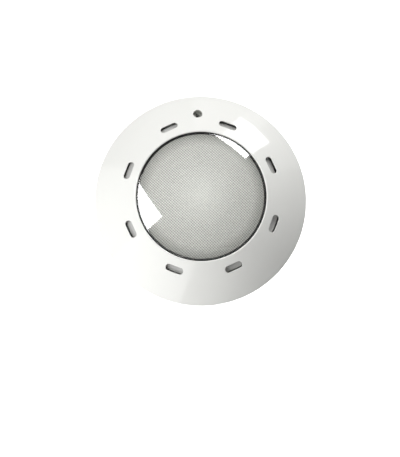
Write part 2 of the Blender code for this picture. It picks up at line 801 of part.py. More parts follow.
def cables():
    looks = (("brown", BROWN_WIRE, 1.3 * MM), ("blue", BLUE_WIRE, -1.3 * MM))
    path = cable_path()
    tube("supply_cable", path, CABLE_RADIUS, BLACK_RUBBER)
    inside = (GLAND_X, GLAND_Y, -1.8 * MM)
    outside = (GLAND_X, GLAND_Y, path[0].z + 0.4 * MM)
    tube("cable_entry", [inside, outside], CABLE_RADIUS, BLACK_RUBBER, parent=LIGHT_UNIT)
    for name, look, off in looks:
        up = Vector((GLAND_X + off, GLAND_Y + off, 0))
        block = Vector((17.9 * MM, GLAND_Y + off, 3.2 * MM))
        points = hermite(up, (0, 0, 6 * MM), block, (-26 * MM, 0, 0), 6)
        tube(f"core_{name}", points, CABLE_CORE_RADIUS, look, parent=LIGHT_UNIT, resolution=0)
        tail = path[-1] + Vector((off, 0.3 * MM, 0))
        ends = [tail, tail + Vector((off, 14 * MM, 0))]
        tube(f"tail_core_{name}", ends, CABLE_CORE_RADIUS, look, resolution=0)


# ---------------------------------------------------------------- the niche
def niche_profile():
    """The cup, from its floor up the inside, over the flange and down the ribbed outside."""
    outer = NICHE_BORE + NICHE_WALL
    floor = NICHE_WALL - NICHE_DEPTH
    draft = 2.0 * MM
    profile = [
        (0, floor),
        (NICHE_BORE - draft, floor),
        (NICHE_BORE, 0),
        (NICHE_BORE, NICHE_FLANGE),
        (NICHE_FLANGE_RADIUS, NICHE_FLANGE),
        (NICHE_FLANGE_RADIUS, 0),
        (outer, 0),
    ]
    for rib in (-30.0 * MM, -62.0 * MM):
        side = outer + draft * rib / NICHE_DEPTH
        profile += [(side, rib), (side + 4.0 * MM, rib - 1.0 * MM)]
        profile += [(side + 4.0 * MM, rib - 3.0 * MM), (side, rib - 4.0 * MM)]
    profile += [(outer - draft, 3.0 * MM - NICHE_DEPTH), (outer - draft - 3.0 * MM, -NICHE_DEPTH)]
    return profile + [(0, -NICHE_DEPTH)]


def hook_seat():
    """A notch in the flange's edge, with a round-bottomed groove that the bead turns in."""
    groove = BEAD_RADIUS + 0.3 * MM
    skin = -1.15 * MM
    lip = HINGE_Z + 0.8 * MM
    bottom = [math.pi + math.pi * i / 8 for i in range(9)]
    arc = [(HINGE_Y + groove * math.cos(a), HINGE_Z + groove * math.sin(a)) for a in bottom]
    outline = [(skin, -68.0 * MM), (-NICHE_FLANGE - MM, -68.0 * MM), (-NICHE_FLANGE - MM, lip)]
    outline += [(HINGE_Y - groove, lip)] + arc
    outline += [(HINGE_Y + groove, lip), (skin, lip + 0.3 * MM)]
    return prism("hook_seat", outline, HOOK_WIDTH + 2.0 * MM, CUTTER_LOOK)


def wall_screw_cutter():
    """Countersunk holes through the flange."""
    bm = bmesh.new()
    for _, x, z in WALL_SCREW_PLACES:
        add_cylinder(bm, 2.3 * MM, -3 * MM, 9 * MM, TINY, at=(x, z))
    made = from_bmesh("wall_screw_holes", bm, CUTTER_LOOK)
    bm = bmesh.new()
    for _, x, z in WALL_SCREW_PLACES:
        bmesh.ops.create_cone(
            bm,
            cap_ends=True,
            segments=TINY,
            radius1=1.8 * MM,
            radius2=5.4 * MM,
            depth=3.6 * MM,
            matrix=Matrix.Translation((x, z, NICHE_FLANGE - 1.3 * MM)),
        )
    return made, from_bmesh("wall_screw_sinks", bm, CUTTER_LOOK)


def niche_shell():
    made = turned("niche_shell", niche_profile(), NICHE_ABS, closed=False)
    port = dict(at=(0, 0, PORT_Z), facing=BACK)
    floor = NICHE_DEPTH - NICHE_WALL
    boss_front = NICHE_FLANGE - 0.1 * MM
    join(made, cylinder("pilot_boss", 6.0 * MM, -9.0 * MM, boss_front, CUTTER_LOOK, at=PILOT_AT))
    port_end = NICHE_DEPTH + 20 * MM
    spigot = cylinder("spigot", 16.6 * MM, floor + MM, port_end, CUTTER_LOOK, segments=32, **port)
    join(made, spigot)
    bore = cylinder("spigot_bore", 8.0 * MM, floor - 5 * MM, port_end + 5 * MM, CUTTER_LOOK, **port)
    cut(made, bore)
    insert = cylinder("insert_hole", 3.6 * MM, -6.0 * MM, 9.0 * MM, CUTTER_LOOK, segments=12, at=PILOT_AT)
    cut(made, insert)
    cut(made, hook_seat())
    for tool in wall_screw_cutter():
        cut(made, tool)
    return made


def wall_screws():
    """Countersunk screws that hold the niche's flange to the wall."""
    profile = [
        (0, -1.4 * MM),
        (1.2 * MM, -1.0 * MM),
        (1.6 * MM, 0),
        (4.0 * MM, 0),
        (1.9 * MM, -2.3 * MM),
        (1.9 * MM, -28.0 * MM),
        (0, -32.0 * MM),
    ]
    for number, (_, x, z) in enumerate(WALL_SCREW_PLACES, 1):
        at = (x, -NICHE_FLANGE + 0.3 * MM, z)
        turned(f"wall_screw_{number}", profile, STEEL, TINY, closed=False, at=at)


def niche():
    niche_shell()
    wall_screws()
    insert = ring_profile(2.45 * MM, 3.3 * MM, -5.0 * MM, NICHE_FLANGE - 0.2 * MM)
    turned("pilot_insert", insert, BRASS, 12, at=PILOT_AT)
    port_face = (0, NICHE_DEPTH - NICHE_WALL, PORT_Z)
    gland("conduit_gland", port_face, FRONT, None, stub_radius=7.6 * MM, stub_length=12.0 * MM)


# ---------------------------------------------------------------- the pilot screw
def pilot_screw():
    """The screw that holds the top of the lamp, on a washer that rides out with its head."""
    seat = FLANGE_FRONT + GAP
    washer = ring_profile(PILOT_SHANK + GAP, PILOT_HEAD, 0, WASHER_THICKNESS)
    at = (0, -seat, PILOT_RADIUS)
    turned("pilot_washer", washer, NYLON, 12, at=at, parent=PILOT_AXIS)
    pan_head_screw(
        "pilot_screw",
        shank=PILOT_SHANK,
        length=PILOT_LENGTH,
        head=PILOT_HEAD,
        look=STEEL,
        segments=12,
        at=(0, -seat - WASHER_THICKNESS - GAP, PILOT_RADIUS),
        parent=PILOT_AXIS,
    )


def pivot(name, at):
    """An empty on a joint's axis, for the pieces that move about it."""
    made = bpy.data.objects.new(name, None)
    made.location = at
    made.empty_display_size = 0.01
    PARTS.objects.link(made)
    return made


def seat_on_rear_face():
    """Moves everything back by the niche's depth, with one empty as the parent of it all."""
    root = pivot("pool_light_root", (0, 0, 0))
    for made in list(PARTS.objects) + list(CUTTERS.objects):
        if not made.parent and made != root:
            made.parent = root
    root.location.y = -NICHE_DEPTH


# ---------------------------------------------------------------- build
clear_scene()
PARTS = new_collection("pool_light")
CUTTERS = new_collection("cutters")

WHITE_ABS = new_material("white_abs", (0.83, 0.84, 0.81), 0.22)
GREY_ABS = new_material("grey_abs", (0.42, 0.43, 0.43), 0.45)
NICHE_ABS = new_material("niche_abs", (0.70, 0.71, 0.70), 0.5)
CLEAR = new_material("clear_polycarbonate", (0.82, 0.83, 0.81), 0.05, transmission=0.9)
BLACK_RUBBER = new_material("black_rubber", (0.015, 0.015, 0.016), 0.6)
BLACK_PLASTIC = new_material("black_plastic", (0.02, 0.02, 0.022), 0.4)
STEEL = new_material("stainless_steel", (0.62, 0.62, 0.60), 0.28, 1.0)
BRASS = new_material("brass", (0.75, 0.58, 0.26), 0.3, 1.0)
COPPER = new_material("copper_winding", (0.70, 0.33, 0.16), 0.35, 1.0)
CAST_ALUMINIUM = new_material("cast_aluminium", (0.72, 0.73, 0.74), 0.42, 1.0)
WHITE_BOARD = new_material("white_board", (0.85, 0.86, 0.84), 0.4)
GREEN_BOARD = new_material("green_board", (0.03, 0.20, 0.08), 0.4)
GREEN_PLASTIC = new_material("green_plastic", (0.05, 0.35, 0.15), 0.45)
LED_YELLOW = new_material("led_phosphor", (0.85, 0.70, 0.20), 0.25)
NYLON = new_material("nylon", (0.80, 0.79, 0.74), 0.4)
RED_WIRE = new_material("red_wire", (0.55, 0.02, 0.02), 0.45)
BROWN_WIRE = new_material("brown_wire", (0.20, 0.08, 0.03), 0.45)
BLUE_WIRE = new_material("blue_wire", (0.03, 0.12, 0.50), 0.45)
CUTTER_LOOK = new_material("cutter", (1.0, 0.2, 0.2), 0.5)

PILOT_AT = (0, 0, PILOT_RADIUS)
PILOT_PLACE = (math.pi / 2, 0, PILOT_RADIUS)
GLAND_AT = (GLAND_X, GLAND_Y, 0)
CLAMP_PLACES = on_circle(CLAMP_SCREW_COUNT, CLAMP_CIRCLE)
WALL_SCREW_PLACES = on_circle(WALL_SCREW_COUNT, WALL_SCREW_CIRCLE, math.pi / 4)
BOARD_SCREW_PLACES = on_circle(3, BOARD_SCREW_CIRCLE, math.pi / 2)

LIGHT_UNIT = pivot("light_unit_hinge", (0, HINGE_Y, HINGE_Z))
PILOT_AXIS = pivot("pilot_screw_axis", PILOT_AT)
adopt(PILOT_AXIS, LIGHT_UNIT)

niche()
face_ring()
sealed_lamp()
electronics()
gland(
    "lamp_gland",
    (GLAND_X, GLAND_Y, GLAND_FACE),
    DOWN,
    LIGHT_UNIT,
    stub_radius=5.8 * MM,
    stub_length=5.0 * MM,
)
cables()
pilot_screw()
seat_on_rear_face()
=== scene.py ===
"""The looks of the underwater pool light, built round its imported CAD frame.

Pieces are drawn in the light's own space: X across, Y up, and Z the distance in front of the
pool wall. AXIS turns that into the frame, where the light looks along -Y.
"""

import json
import math

import bmesh
import bpy
from mathutils import Matrix, Vector


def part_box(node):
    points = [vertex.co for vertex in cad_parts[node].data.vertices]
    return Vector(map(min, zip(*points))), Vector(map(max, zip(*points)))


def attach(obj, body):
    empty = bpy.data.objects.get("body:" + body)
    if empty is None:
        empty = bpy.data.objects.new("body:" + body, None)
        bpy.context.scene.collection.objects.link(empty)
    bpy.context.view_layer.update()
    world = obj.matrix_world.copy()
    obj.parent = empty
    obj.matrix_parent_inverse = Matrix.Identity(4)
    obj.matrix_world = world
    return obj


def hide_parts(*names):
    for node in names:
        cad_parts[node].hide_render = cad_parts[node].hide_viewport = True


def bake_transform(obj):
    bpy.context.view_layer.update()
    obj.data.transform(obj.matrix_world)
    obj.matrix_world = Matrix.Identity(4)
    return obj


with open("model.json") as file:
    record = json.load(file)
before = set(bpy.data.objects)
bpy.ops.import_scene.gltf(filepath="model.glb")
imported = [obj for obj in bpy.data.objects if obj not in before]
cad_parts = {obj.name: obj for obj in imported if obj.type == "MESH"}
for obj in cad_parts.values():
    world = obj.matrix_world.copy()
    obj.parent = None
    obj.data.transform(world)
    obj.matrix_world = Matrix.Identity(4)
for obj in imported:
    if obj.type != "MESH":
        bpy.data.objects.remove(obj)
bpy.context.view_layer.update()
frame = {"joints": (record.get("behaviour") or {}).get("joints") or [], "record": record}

MM = 0.001
MOUNTS = {mount["name"]: mount for mount in frame["record"]["mounts"]}
WALL = MOUNTS["wall_face"]["pos_m"][1]
AXIS = Matrix.Translation((0, WALL, 0)) @ Matrix.Rotation(math.radians(90), 4, "X")
FINE, MEDIUM = 240, 96  # segments round turned pieces


def front_of(node):
    """How far the node reaches in front of the wall."""
    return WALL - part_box(node)[0].y


def back_of(node):
    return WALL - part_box(node)[1].y


def radius_of(node):
    """The reach of a node that is centred on the light's axis."""
    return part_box(node)[1].x


def centre_of(node):
    """A node's middle across and up, in the light's own space."""
    low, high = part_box(node)
    return (low.x + high.x) / 2, (low.z + high.z) / 2


# ---------------------------------------------------------------- mesh helpers
def mm(*points):
    """An outline given in millimetres."""
    return [tuple(value * MM for value in point) for point in points]


def arc(centre, radius, start, end, steps):
    """Points on an arc, with its angles in degrees."""
    angles = [math.radians(start + (end - start) * i / steps) for i in range(steps + 1)]
    return [(centre[0] + radius * math.cos(a), centre[1] + radius * math.sin(a)) for a in angles]


def rounded(outline, steps=4, closed=True):
    """Replaces each (x, y, radius) corner of an outline by an arc. Corners with no radius stay."""
    made = []
    count = len(outline)
    for i, corner in enumerate(outline):
        here = Vector(corner[:2])
        radius = corner[2] if len(corner) > 2 else 0
        if not radius or (not closed and i in (0, count - 1)):
            made.append(tuple(here))
            continue
        before = (Vector(outline[i - 1][:2]) - here).normalized()
        after = (Vector(outline[(i + 1) % count][:2]) - here).normalized()
        half = before.angle(after) / 2
        reach = radius / math.tan(half)
        middle = here + (before + after).normalized() * radius / math.sin(half)
        start = (here + before * reach) - middle
        end = (here + after * reach) - middle
        sweep = start.angle_signed(end)
        for step in range(steps + 1):
            made.append(tuple(middle + Matrix.Rotation(-sweep * step / steps, 2) @ start))
    return made


def bowed(start, end, bow, steps):
    """Points along the arc from start to end whose middle stands bow to the left of the chord."""
    start, end = Vector(start), Vector(end)
    chord = end - start
    along = chord.normalized()
    side = Vector((-along.y, along.x))
    radius = (chord.length_squared / 4 + bow * bow) / (2 * bow)
    centre = (start + end) / 2 - side * (radius - bow)
    half_turn = math.asin(chord.length / 2 / radius)
    angles = [half_turn * (2 * i / steps - 1) for i in range(steps + 1)]
    return [
        tuple(centre + side * radius * math.cos(a) + along * radius * math.sin(a))
        for a in angles
    ]


def turned(outline, segments=MEDIUM, closed=True):
    """A bmesh turned about Z from (radius, front) points, or (radius, front, corner radius)."""
    bm = bmesh.new()
    knots = [bm.verts.new((r, 0, front)) for r, front in rounded(outline, closed=closed)]
    edges = [bm.edges.new(pair) for pair in zip(knots, knots[1:])]
    if closed:
        edges.append(bm.edges.new((knots[-1], knots[0])))
    bmesh.ops.spin(
        bm,
        geom=knots + edges,
        cent=(0, 0, 0),
        axis=(0, 0, 1),
        angle=math.tau,
        steps=segments,
        use_merge=True,
    )
    bmesh.ops.remove_doubles(bm, verts=bm.verts, dist=1e-7)
    bmesh.ops.recalc_face_normals(bm, faces=bm.faces)
    return bm


def solid(outline, segments):
    """A turned piece whose outline starts and ends on the axis."""
    return turned(outline, segments, closed=False)


def block(low, high, bevel=0.0, segments=3):
    bm = bmesh.new()
    points = bmesh.ops.create_cube(bm, size=1.0)["verts"]
    bmesh.ops.scale(bm, vec=Vector(high) - Vector(low), verts=points)
    bmesh.ops.translate(bm, vec=(Vector(low) + Vector(high)) / 2, verts=points)
    if bevel:
        bmesh.ops.bevel(
            bm, geom=bm.edges[:], offset=bevel, segments=segments, affect="EDGES", profile=0.5
        )
    return bm


def prism(outline, bottom, top, bevel=0.0):
    """An outline of (x, y) points, standing from bottom to top, with both rims bevelled."""
    bm = bmesh.new()
    face = bm.faces.new([bm.verts.new((x, y, bottom)) for x, y in outline])
    grown = bmesh.ops.extrude_face_region(bm, geom=[face])["geom"]
    lifted = [v for v in grown if isinstance(v, bmesh.types.BMVert)]
    bmesh.ops.translate(bm, vec=(0, 0, top - bottom), verts=lifted)
    bmesh.ops.recalc_face_normals(bm, faces=bm.faces)
    if bevel:
        rims = [e for e in bm.edges if abs(e.verts[0].co.z - e.verts[1].co.z) < 1e-9]
        bmesh.ops.bevel(bm, geom=rims, offset=bevel, segments=2, affect="EDGES", profile=0.5)
    return bm


def polygon(radius, count, turn=0.0):
    angles = [turn + math.tau * i / count for i in range(count)]
    return [(radius * math.cos(a), radius * math.sin(a)) for a in angles]


def skin(bm, rings):
    """Walls between each ring of points and the next, with both ends closed. Returns the last cap."""
    for low, high in zip(rings, rings[1:]):
        for i in range(len(low)):
            j = (i + 1) % len(low)
            bm.faces.new((low[i], low[j], high[j], high[i]))
    bm.faces.new(reversed(rings[0]))
    return bm.faces.new(rings[-1])


def swept(points, radius, sides=20, rounding=0.3):
    """A tube along a path, as a closed bmesh with slightly rounded ends."""
    bm = bmesh.new()
    points = [Vector(p) for p in points]
    ways = [(b - a).normalized() for a, b in zip(points, points[1:])]
    ways = [ways[0]] + [(a + b).normalized() for a, b in zip(ways, ways[1:])] + [ways[-1]]
    side = ways[0].orthogonal().normalized()
    rings = []
    first = (points[0] + ways[0] * radius * rounding, ways[0])
    stations = [(points[0], ways[0], 1 - rounding), (*first, 1.0)]
    stations += [(p, w, 1.0) for p, w in zip(points[1:-1], ways[1:-1])]
    stations += [(points[-1] - ways[-1] * radius * rounding, ways[-1], 1.0)]
    stations += [(points[-1], ways[-1], 1 - rounding)]
    for point, way, share in stations:
        side = (side - way * side.dot(way)).normalized()
        up = way.cross(side)
        ring = []
        for i in range(sides):
            a = math.tau * i / sides
            offset = side * math.cos(a) + up * math.sin(a)
            ring.append(bm.verts.new(point + offset * radius * share))
        rings.append(ring)
    skin(bm, rings)
    bmesh.ops.recalc_face_normals(bm, faces=bm.faces)
    return bm


def scratch(bm, name="scratch"):
    mesh = bpy.data.meshes.new(name)
    bm.to_mesh(mesh)
    bm.free()
    made = bpy.data.objects.new(name, mesh)
    bpy.context.scene.collection.objects.link(made)
    return made


def combined(bm, *steps):
    """The bmesh after Boolean steps, each an operation and the bmesh that does it."""
    base = scratch(bm)
    tools = []
    for operation, tool in steps:
        step = base.modifiers.new(operation, "BOOLEAN")
        step.solver = "MANIFOLD"
        step.operation = operation
        step.object = scratch(tool)
        tools.append(step.object)
    bpy.context.view_layer.update()
    graph = bpy.context.evaluated_depsgraph_get()
    result = bpy.data.meshes.new_from_object(base.evaluated_get(graph))
    done = bmesh.new()
    done.from_mesh(result)
    bpy.data.meshes.remove(result)
    for helper in [base] + tools:
        bpy.data.objects.remove(helper)
    return done


def add(tool):
    return ("UNION", tool)


def cut(tool):
    return ("DIFFERENCE", tool)


def moved(bm, *matrices):
    """The same bmesh after the matrices, first one first."""
    for matrix in matrices:
        bmesh.ops.transform(bm, matrix=matrix, verts=bm.verts)
    return bm


def merged(*parts):
    """Separate closed shells in one bmesh."""
    whole = bmesh.new()
    for part in parts:
        mesh = bpy.data.meshes.new("part")
        part.to_mesh(mesh)
        part.free()
        whole.from_mesh(mesh)
        bpy.data.meshes.remove(mesh)
    return whole


def shift(x=0.0, y=0.0, z=0.0):
    return Matrix.Translation((x, y, z))


def spin(angle, axis="Z"):
    return Matrix.Rotation(angle, 4, axis)


def mesh_from(name, bm, look, sharp=35):
    if bm.calc_volume(signed=True) < 0:
        bmesh.ops.reverse_faces(bm, faces=bm.faces)
    mesh = bpy.data.meshes.new(name)
    bm.to_mesh(mesh)
    bm.free()
    mesh.materials.append(look)
    mesh.shade_smooth()
    mesh.set_sharp_from_angle(angle=math.radians(sharp))
    return mesh


RECORD = frame["record"]
BODIES = {node: body for body, nodes in RECORD["behaviour"]["bodies"].items() for node in nodes}


def show(name, shape, look=None, matrix=AXIS, node=None, sharp=35):
    """Makes a piece from a bmesh or a shared mesh. It stands for a CAD node, its own by name."""
    node = node or name
    if isinstance(shape, bmesh.types.BMesh):
        shape = mesh_from(name, shape, look, sharp)
    made = bpy.data.objects.new(f"{name}_visual", shape)
    bpy.context.scene.collection.objects.link(made)
    made.matrix_world = matrix
    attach(made, BODIES[node])
    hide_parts(node)


# ---------------------------------------------------------------- materials
class Look:
    """A material's node tree, with short names for the nodes these looks use."""

    def __init__(self, name, **values):
        self.material = bpy.data.materials.new(name)
        self.material.use_nodes = True
        self.tree = self.material.node_tree
        self.shader = self.tree.nodes["Principled BSDF"]
        self.output = self.tree.nodes["Material Output"]
        self.place = self.node("ShaderNodeTexCoord").outputs["Object"]
        for key, value in values.items():
            self.set(key, value)

    def node(self, kind, inputs=(), **fields):
        made = self.tree.nodes.new(kind)
        for key, value in fields.items():
            setattr(made, key, value)
        for key, value in dict(inputs).items():
            self.feed(made.inputs[key], value)
        return made

    def feed(self, socket, value):
        if isinstance(value, bpy.types.NodeSocket):
            self.tree.links.new(value, socket)
        elif isinstance(value, tuple) and len(value) == 3 and socket.type == "RGBA":
            socket.default_value = (*value, 1.0)
        else:
            socket.default_value = value

    def set(self, key, value):
        self.feed(self.shader.inputs[key.replace("_", " ")], value)

    def noise(self, scale, detail=3.0, stretch=None, distortion=0.0):
        """Noise whose features are about 1 / scale metres across."""
        place = self.place
        if stretch:
            place = self.node("ShaderNodeMapping", {"Vector": place, "Scale": stretch}).outputs[0]
        values = {"Vector": place, "Scale": scale, "Detail": detail, "Distortion": distortion}
        return self.node("ShaderNodeTexNoise", values).outputs["Fac"]

    def ramp(self, value, *stops):
        """Colours or numbers at places from 0 to 1."""
        made = self.node("ShaderNodeValToRGB", {"Fac": value})
        band = made.color_ramp
        while len(band.elements) < len(stops):
            band.elements.new(0.5)
        for element, (position, colour) in zip(band.elements, stops):
            element.position = position
            rgb = colour if isinstance(colour, tuple) else (colour,) * 3
            element.color = (*rgb, 1.0)
        return made.outputs["Color"]

    def mix(self, share, first, second, blend="MIX"):
        values = {0: share, 6: first, 7: second}
        made = self.node("ShaderNodeMix", values, data_type="RGBA", blend_type=blend)
        return made.outputs[2]

    def math(self, operation, first, second=0.0):
        return self.node("ShaderNodeMath", {0: first, 1: second}, operation=operation).outputs[0]

    def bump(self, height, depth, strength=1.0):
        values = {"Height": height, "Distance": depth, "Strength": strength}
        self.set("Normal", self.node("ShaderNodeBump", values).outputs["Normal"])


def plastic(name, colour, roughness, grain_and_stipple_shade=0.02, bump=0.00001, scale=900):
    """Moulded plastic: a slight cloudiness, faint flow marks and a fine skin."""
    look = Look(name)
    cloud = look.noise(35, 2)
    darker = tuple(c * (1 - grain_and_stipple_shade) for c in colour)
    brighter = tuple(min(1.0, c * (1 + grain_and_stipple_shade)) for c in colour)
    look.set("Base Color", look.ramp(cloud, (0.3, darker), (0.7, brighter)))
    flow = look.noise(60, 4, stretch=(1, 0.3, 1), distortion=0.4)
    look.set("Roughness", look.ramp(flow, (0.3, roughness * 0.85), (0.7, roughness * 1.15)))
    look.bump(look.noise(scale, 2), bump)
    return look.material


def rubber(name, colour=(0.012, 0.012, 0.013), roughness=0.55):
    look = Look(name)
    dust = look.noise(220, 5)
    pale = tuple(c * 2.2 for c in colour)
    look.set("Base Color", look.ramp(dust, (0.45, colour), (0.8, pale)))
    look.set("Roughness", look.ramp(dust, (0.3, roughness), (0.8, roughness + 0.2)))
    look.set("Specular_IOR_Level", 0.35)
    look.bump(look.noise(2600, 2), 0.00002)
    return look.material


def metal(name, colour, roughness, streak=(1, 1, 1), scale=900, spread=0.35):
    """Metal with fine machining or casting marks, and a little tarnish."""
    look = Look(name, Metallic=1.0)
    tarnish = look.noise(140, 4)
    dull = tuple(c * 0.78 for c in colour)
    look.set("Base Color", look.ramp(tarnish, (0.35, dull), (0.6, colour)))
    marks = look.noise(scale, 3, stretch=streak)
    low, high = roughness * (1 - spread), roughness * (1 + spread)
    look.set("Roughness", look.ramp(marks, (0.3, low), (0.7, high)))
    look.bump(marks, 0.00003, 0.6)
    return look.material


MIRROR_IOR, MIRROR_GAIN = 1.85, 1.9


def clear_window(name):
    """Clear polycarbonate: it shows what is behind it and mirrors by its angle.

    Each ray meets the front once, so one mirror stands for the faces of both moulded layers.
    """
    look = Look(name)
    film = look.noise(420, 4)
    fresnel = look.node("ShaderNodeFresnel", {"IOR": MIRROR_IOR}).outputs[0]
    inside = look.node("ShaderNodeNewGeometry").outputs["Backfacing"]
    mirror = look.math("MULTIPLY", fresnel, look.math("SUBTRACT", 1.0, inside))
    gloss = look.node("ShaderNodeBsdfGlossy", {"Color": (MIRROR_GAIN,) * 3})
    look.feed(gloss.inputs["Roughness"], look.ramp(film, (0.4, 0.02), (0.8, 0.05)))
    through = look.node("ShaderNodeBsdfTransparent", {"Color": (0.985, 0.99, 0.985)})
    values = {0: mirror, 1: through.outputs[0], 2: gloss.outputs[0]}
    both = look.node("ShaderNodeMixShader", values)
    look.tree.links.new(both.outputs[0], look.output.inputs["Surface"])
    look.tree.nodes.remove(look.shader)
    return look.material


STIPPLE_PITCH = 1.66 * MM
STIPPLE_WAVE = math.tau / STIPPLE_PITCH / math.sqrt(2)
SECOND_WAVE = 0.6  # height of the crossing wave, as a share of the first


def stippled_window(name, radius):
    """The window's stippled inside over the lamp's white bowl, in painted light and shade: palest and
    smoothest in the middle, darker towards the rim.
    """
    look = Look(name, Roughness=0.42, Specular_IOR_Level=0.25)
    split = look.node("ShaderNodeSeparateXYZ", {"Vector": look.place}).outputs
    across = look.math("POWER", look.math("DIVIDE", split["X"], radius), 2.0)
    up = look.math("POWER", look.math("DIVIDE", split["Y"], radius), 2.0)
    reach = look.math("SQRT", look.math("ADD", across, up))
    # Painted shade: the bowl's colour is palest in the middle and darkest at the rim of the window.
    painted_bowl_shade = look.ramp(
        reach,
        (0.0, (0.99, 0.985, 0.95)), (0.45, (0.95, 0.945, 0.91)),
        (0.82, (0.85, 0.845, 0.81)), (1.0, (0.52, 0.515, 0.49)),
    )
    # Painted light and shade of the stipple: pale on the crests of its waves and dark in the hollows,
    # multiplied by a random mottle.
    rising = look.math("MULTIPLY", look.math("ADD", split["X"], split["Y"]), STIPPLE_WAVE)
    falling = look.math("MULTIPLY", look.math("SUBTRACT", split["X"], split["Y"]), STIPPLE_WAVE)
    crossing = look.math("MULTIPLY", look.math("COSINE", falling), SECOND_WAVE)
    crests = look.math("ADD", look.math("COSINE", rising), crossing)
    height = look.math("ADD", look.math("MULTIPLY", crests, 0.5 / (1 + SECOND_WAVE)), 0.5)
    shaded = look.ramp(height, (0.05, 0.4), (0.5, 0.82), (0.85, 1.0))
    mottle = look.ramp(look.noise(700, 4), (0.35, 0.86), (0.65, 1.0))
    grain_and_stipple_shade = look.mix(1.0, shaded, mottle, "MULTIPLY")
    # The painted stipple shade is faint in the middle and full from halfway out.
    seen = look.mix(look.ramp(reach, (0.0, 0.6), (0.5, 1.0)), (1.0, 1.0, 1.0), grain_and_stipple_shade)
    look.set("Base Color", look.mix(1.0, painted_bowl_shade, seen, "MULTIPLY"))
    return look.material


def board_look(name, mask, copper, scale):
    """A circuit board: solder mask over faint tracks, as a blocky pattern."""
    look = Look(name, Roughness=0.35)
    values = {"Vector": look.place, "Scale": scale}
    cells = look.node("ShaderNodeTexVoronoi", values, distance="CHEBYCHEV")
    tracks = look.ramp(cells.outputs["Distance"], (0.42, mask), (0.5, copper))
    look.set("Base Color", look.mix(look.noise(300, 2), mask, tracks))
    look.bump(cells.outputs["Distance"], 0.00002)
    return look.material


GLOSS_WHITE = plastic("gloss_white_abs", (0.86, 0.863, 0.832), 0.07, grain_and_stipple_shade=0.006, bump=0.000001)
SATIN_GREY = plastic("satin_grey_abs", (0.42, 0.43, 0.43), 0.42, bump=0.00002, scale=1600)
NICHE_PLASTIC = plastic("niche_abs", (0.70, 0.71, 0.70), 0.48, bump=0.00002, scale=1600)
CLAMP_GREY = plastic("clamp_grey", (0.50, 0.50, 0.49), 0.35, bump=0.00001, scale=1600)
BOWL_WHITE = plastic("bowl_white", (0.84, 0.84, 0.82), 0.5, grain_and_stipple_shade=0.01, bump=0.00001, scale=1600)
RUBBER = rubber("black_rubber")
CABLE_RUBBER = rubber("cable_rubber", (0.016, 0.016, 0.017), 0.5)
BLACK_NYLON = plastic("black_nylon", (0.02, 0.02, 0.022), 0.42, bump=0.00002, scale=2400)
NYLON = plastic("natural_nylon", (0.74, 0.73, 0.68), 0.4, grain_and_stipple_shade=0.03)
STEEL = metal("stainless_steel", (0.62, 0.62, 0.60), 0.26, streak=(1, 1, 12), scale=700)
BRASS = metal("brass", (0.72, 0.54, 0.24), 0.3, streak=(1, 1, 8))
COPPER = metal("copper_winding", (0.70, 0.33, 0.16), 0.3)
TINNED = metal("bare_copper", (0.78, 0.42, 0.24), 0.32)
CAST = metal("cast_aluminium", (0.72, 0.73, 0.74), 0.45, scale=1500)
PAINTED_CAN = plastic("capacitor_sleeve", (0.03, 0.03, 0.035), 0.3)
WHITE_BOARD = board_look("white_board", (0.82, 0.83, 0.81), (0.62, 0.63, 0.60), 260)
GREEN_BOARD = board_look("green_board", (0.02, 0.16, 0.06), (0.06, 0.30, 0.12), 420)
GREEN_PLASTIC = plastic("green_plastic", (0.05, 0.33, 0.14), 0.42)
CERAMIC = plastic("led_ceramic", (0.80, 0.80, 0.76), 0.45)
PHOSPHOR = plastic("led_phosphor", (0.85, 0.68, 0.16), 0.2, bump=0.00001, scale=3000)
RED_PVC = plastic("red_pvc", (0.50, 0.02, 0.02), 0.42)
BLACK_PVC = plastic("black_pvc", (0.02, 0.02, 0.02), 0.42)
BROWN_PVC = plastic("brown_pvc", (0.20, 0.08, 0.03), 0.42)
BLUE_PVC = plastic("blue_pvc", (0.03, 0.12, 0.48), 0.42)


# ---------------------------------------------------------------- the face ring
RING_RADIUS = radius_of("face_ring")
CREST = front_of("face_ring")
OPENING = 54.6 * MM
RIM_STANDOFF = 4.5 * MM
RING_WALL = 2.6 * MM
DOME_BOW = 1.4 * MM
DOME_TOP = (OPENING + 0.8 * MM, CREST)
DOME_FOOT = (RING_RADIUS - 0.8 * MM, RIM_STANDOFF + 2.2 * MM)
DOME_STEPS = 48
DOME = bowed(DOME_TOP, DOME_FOOT, DOME_BOW, DOME_STEPS)
SLOT_COUNT = 8
SLOT_CIRCLE = 64.8 * MM
SLOT_LENGTH, SLOT_WIDTH = 15.2 * MM, 5.2 * MM
WELL_BORE = 3.85 * MM
WELL_WALL = 1.6 * MM
CLAMP_FRONT = 18.7 * MM
LAMP_RADIUS = radius_of("clamp_ring")
FLANGE_FRONT = 9.0 * MM
FLANGE_BACK = 5.9 * MM
GAP = 0.3 * MM
PILOT = centre_of("pilot_screw")
PILOT_SEAT = back_of("pilot_washer")


def dome_front(radius):
    """Height of the ring's outer surface at this radius."""
    for (r0, f0), (r1, f1) in zip(DOME, DOME[1:]):
        if radius <= r1:
            return f0 + (f1 - f0) * (radius - r0) / (r1 - r0)
    return DOME[-1][1]


def ring_drop():
    """How far the ring's underside is below its outer surface, measured along the light's axis."""
    slope = math.atan2(DOME_TOP[1] - DOME_FOOT[1], DOME_FOOT[0] - DOME_TOP[0])
    return RING_WALL / math.cos(slope)


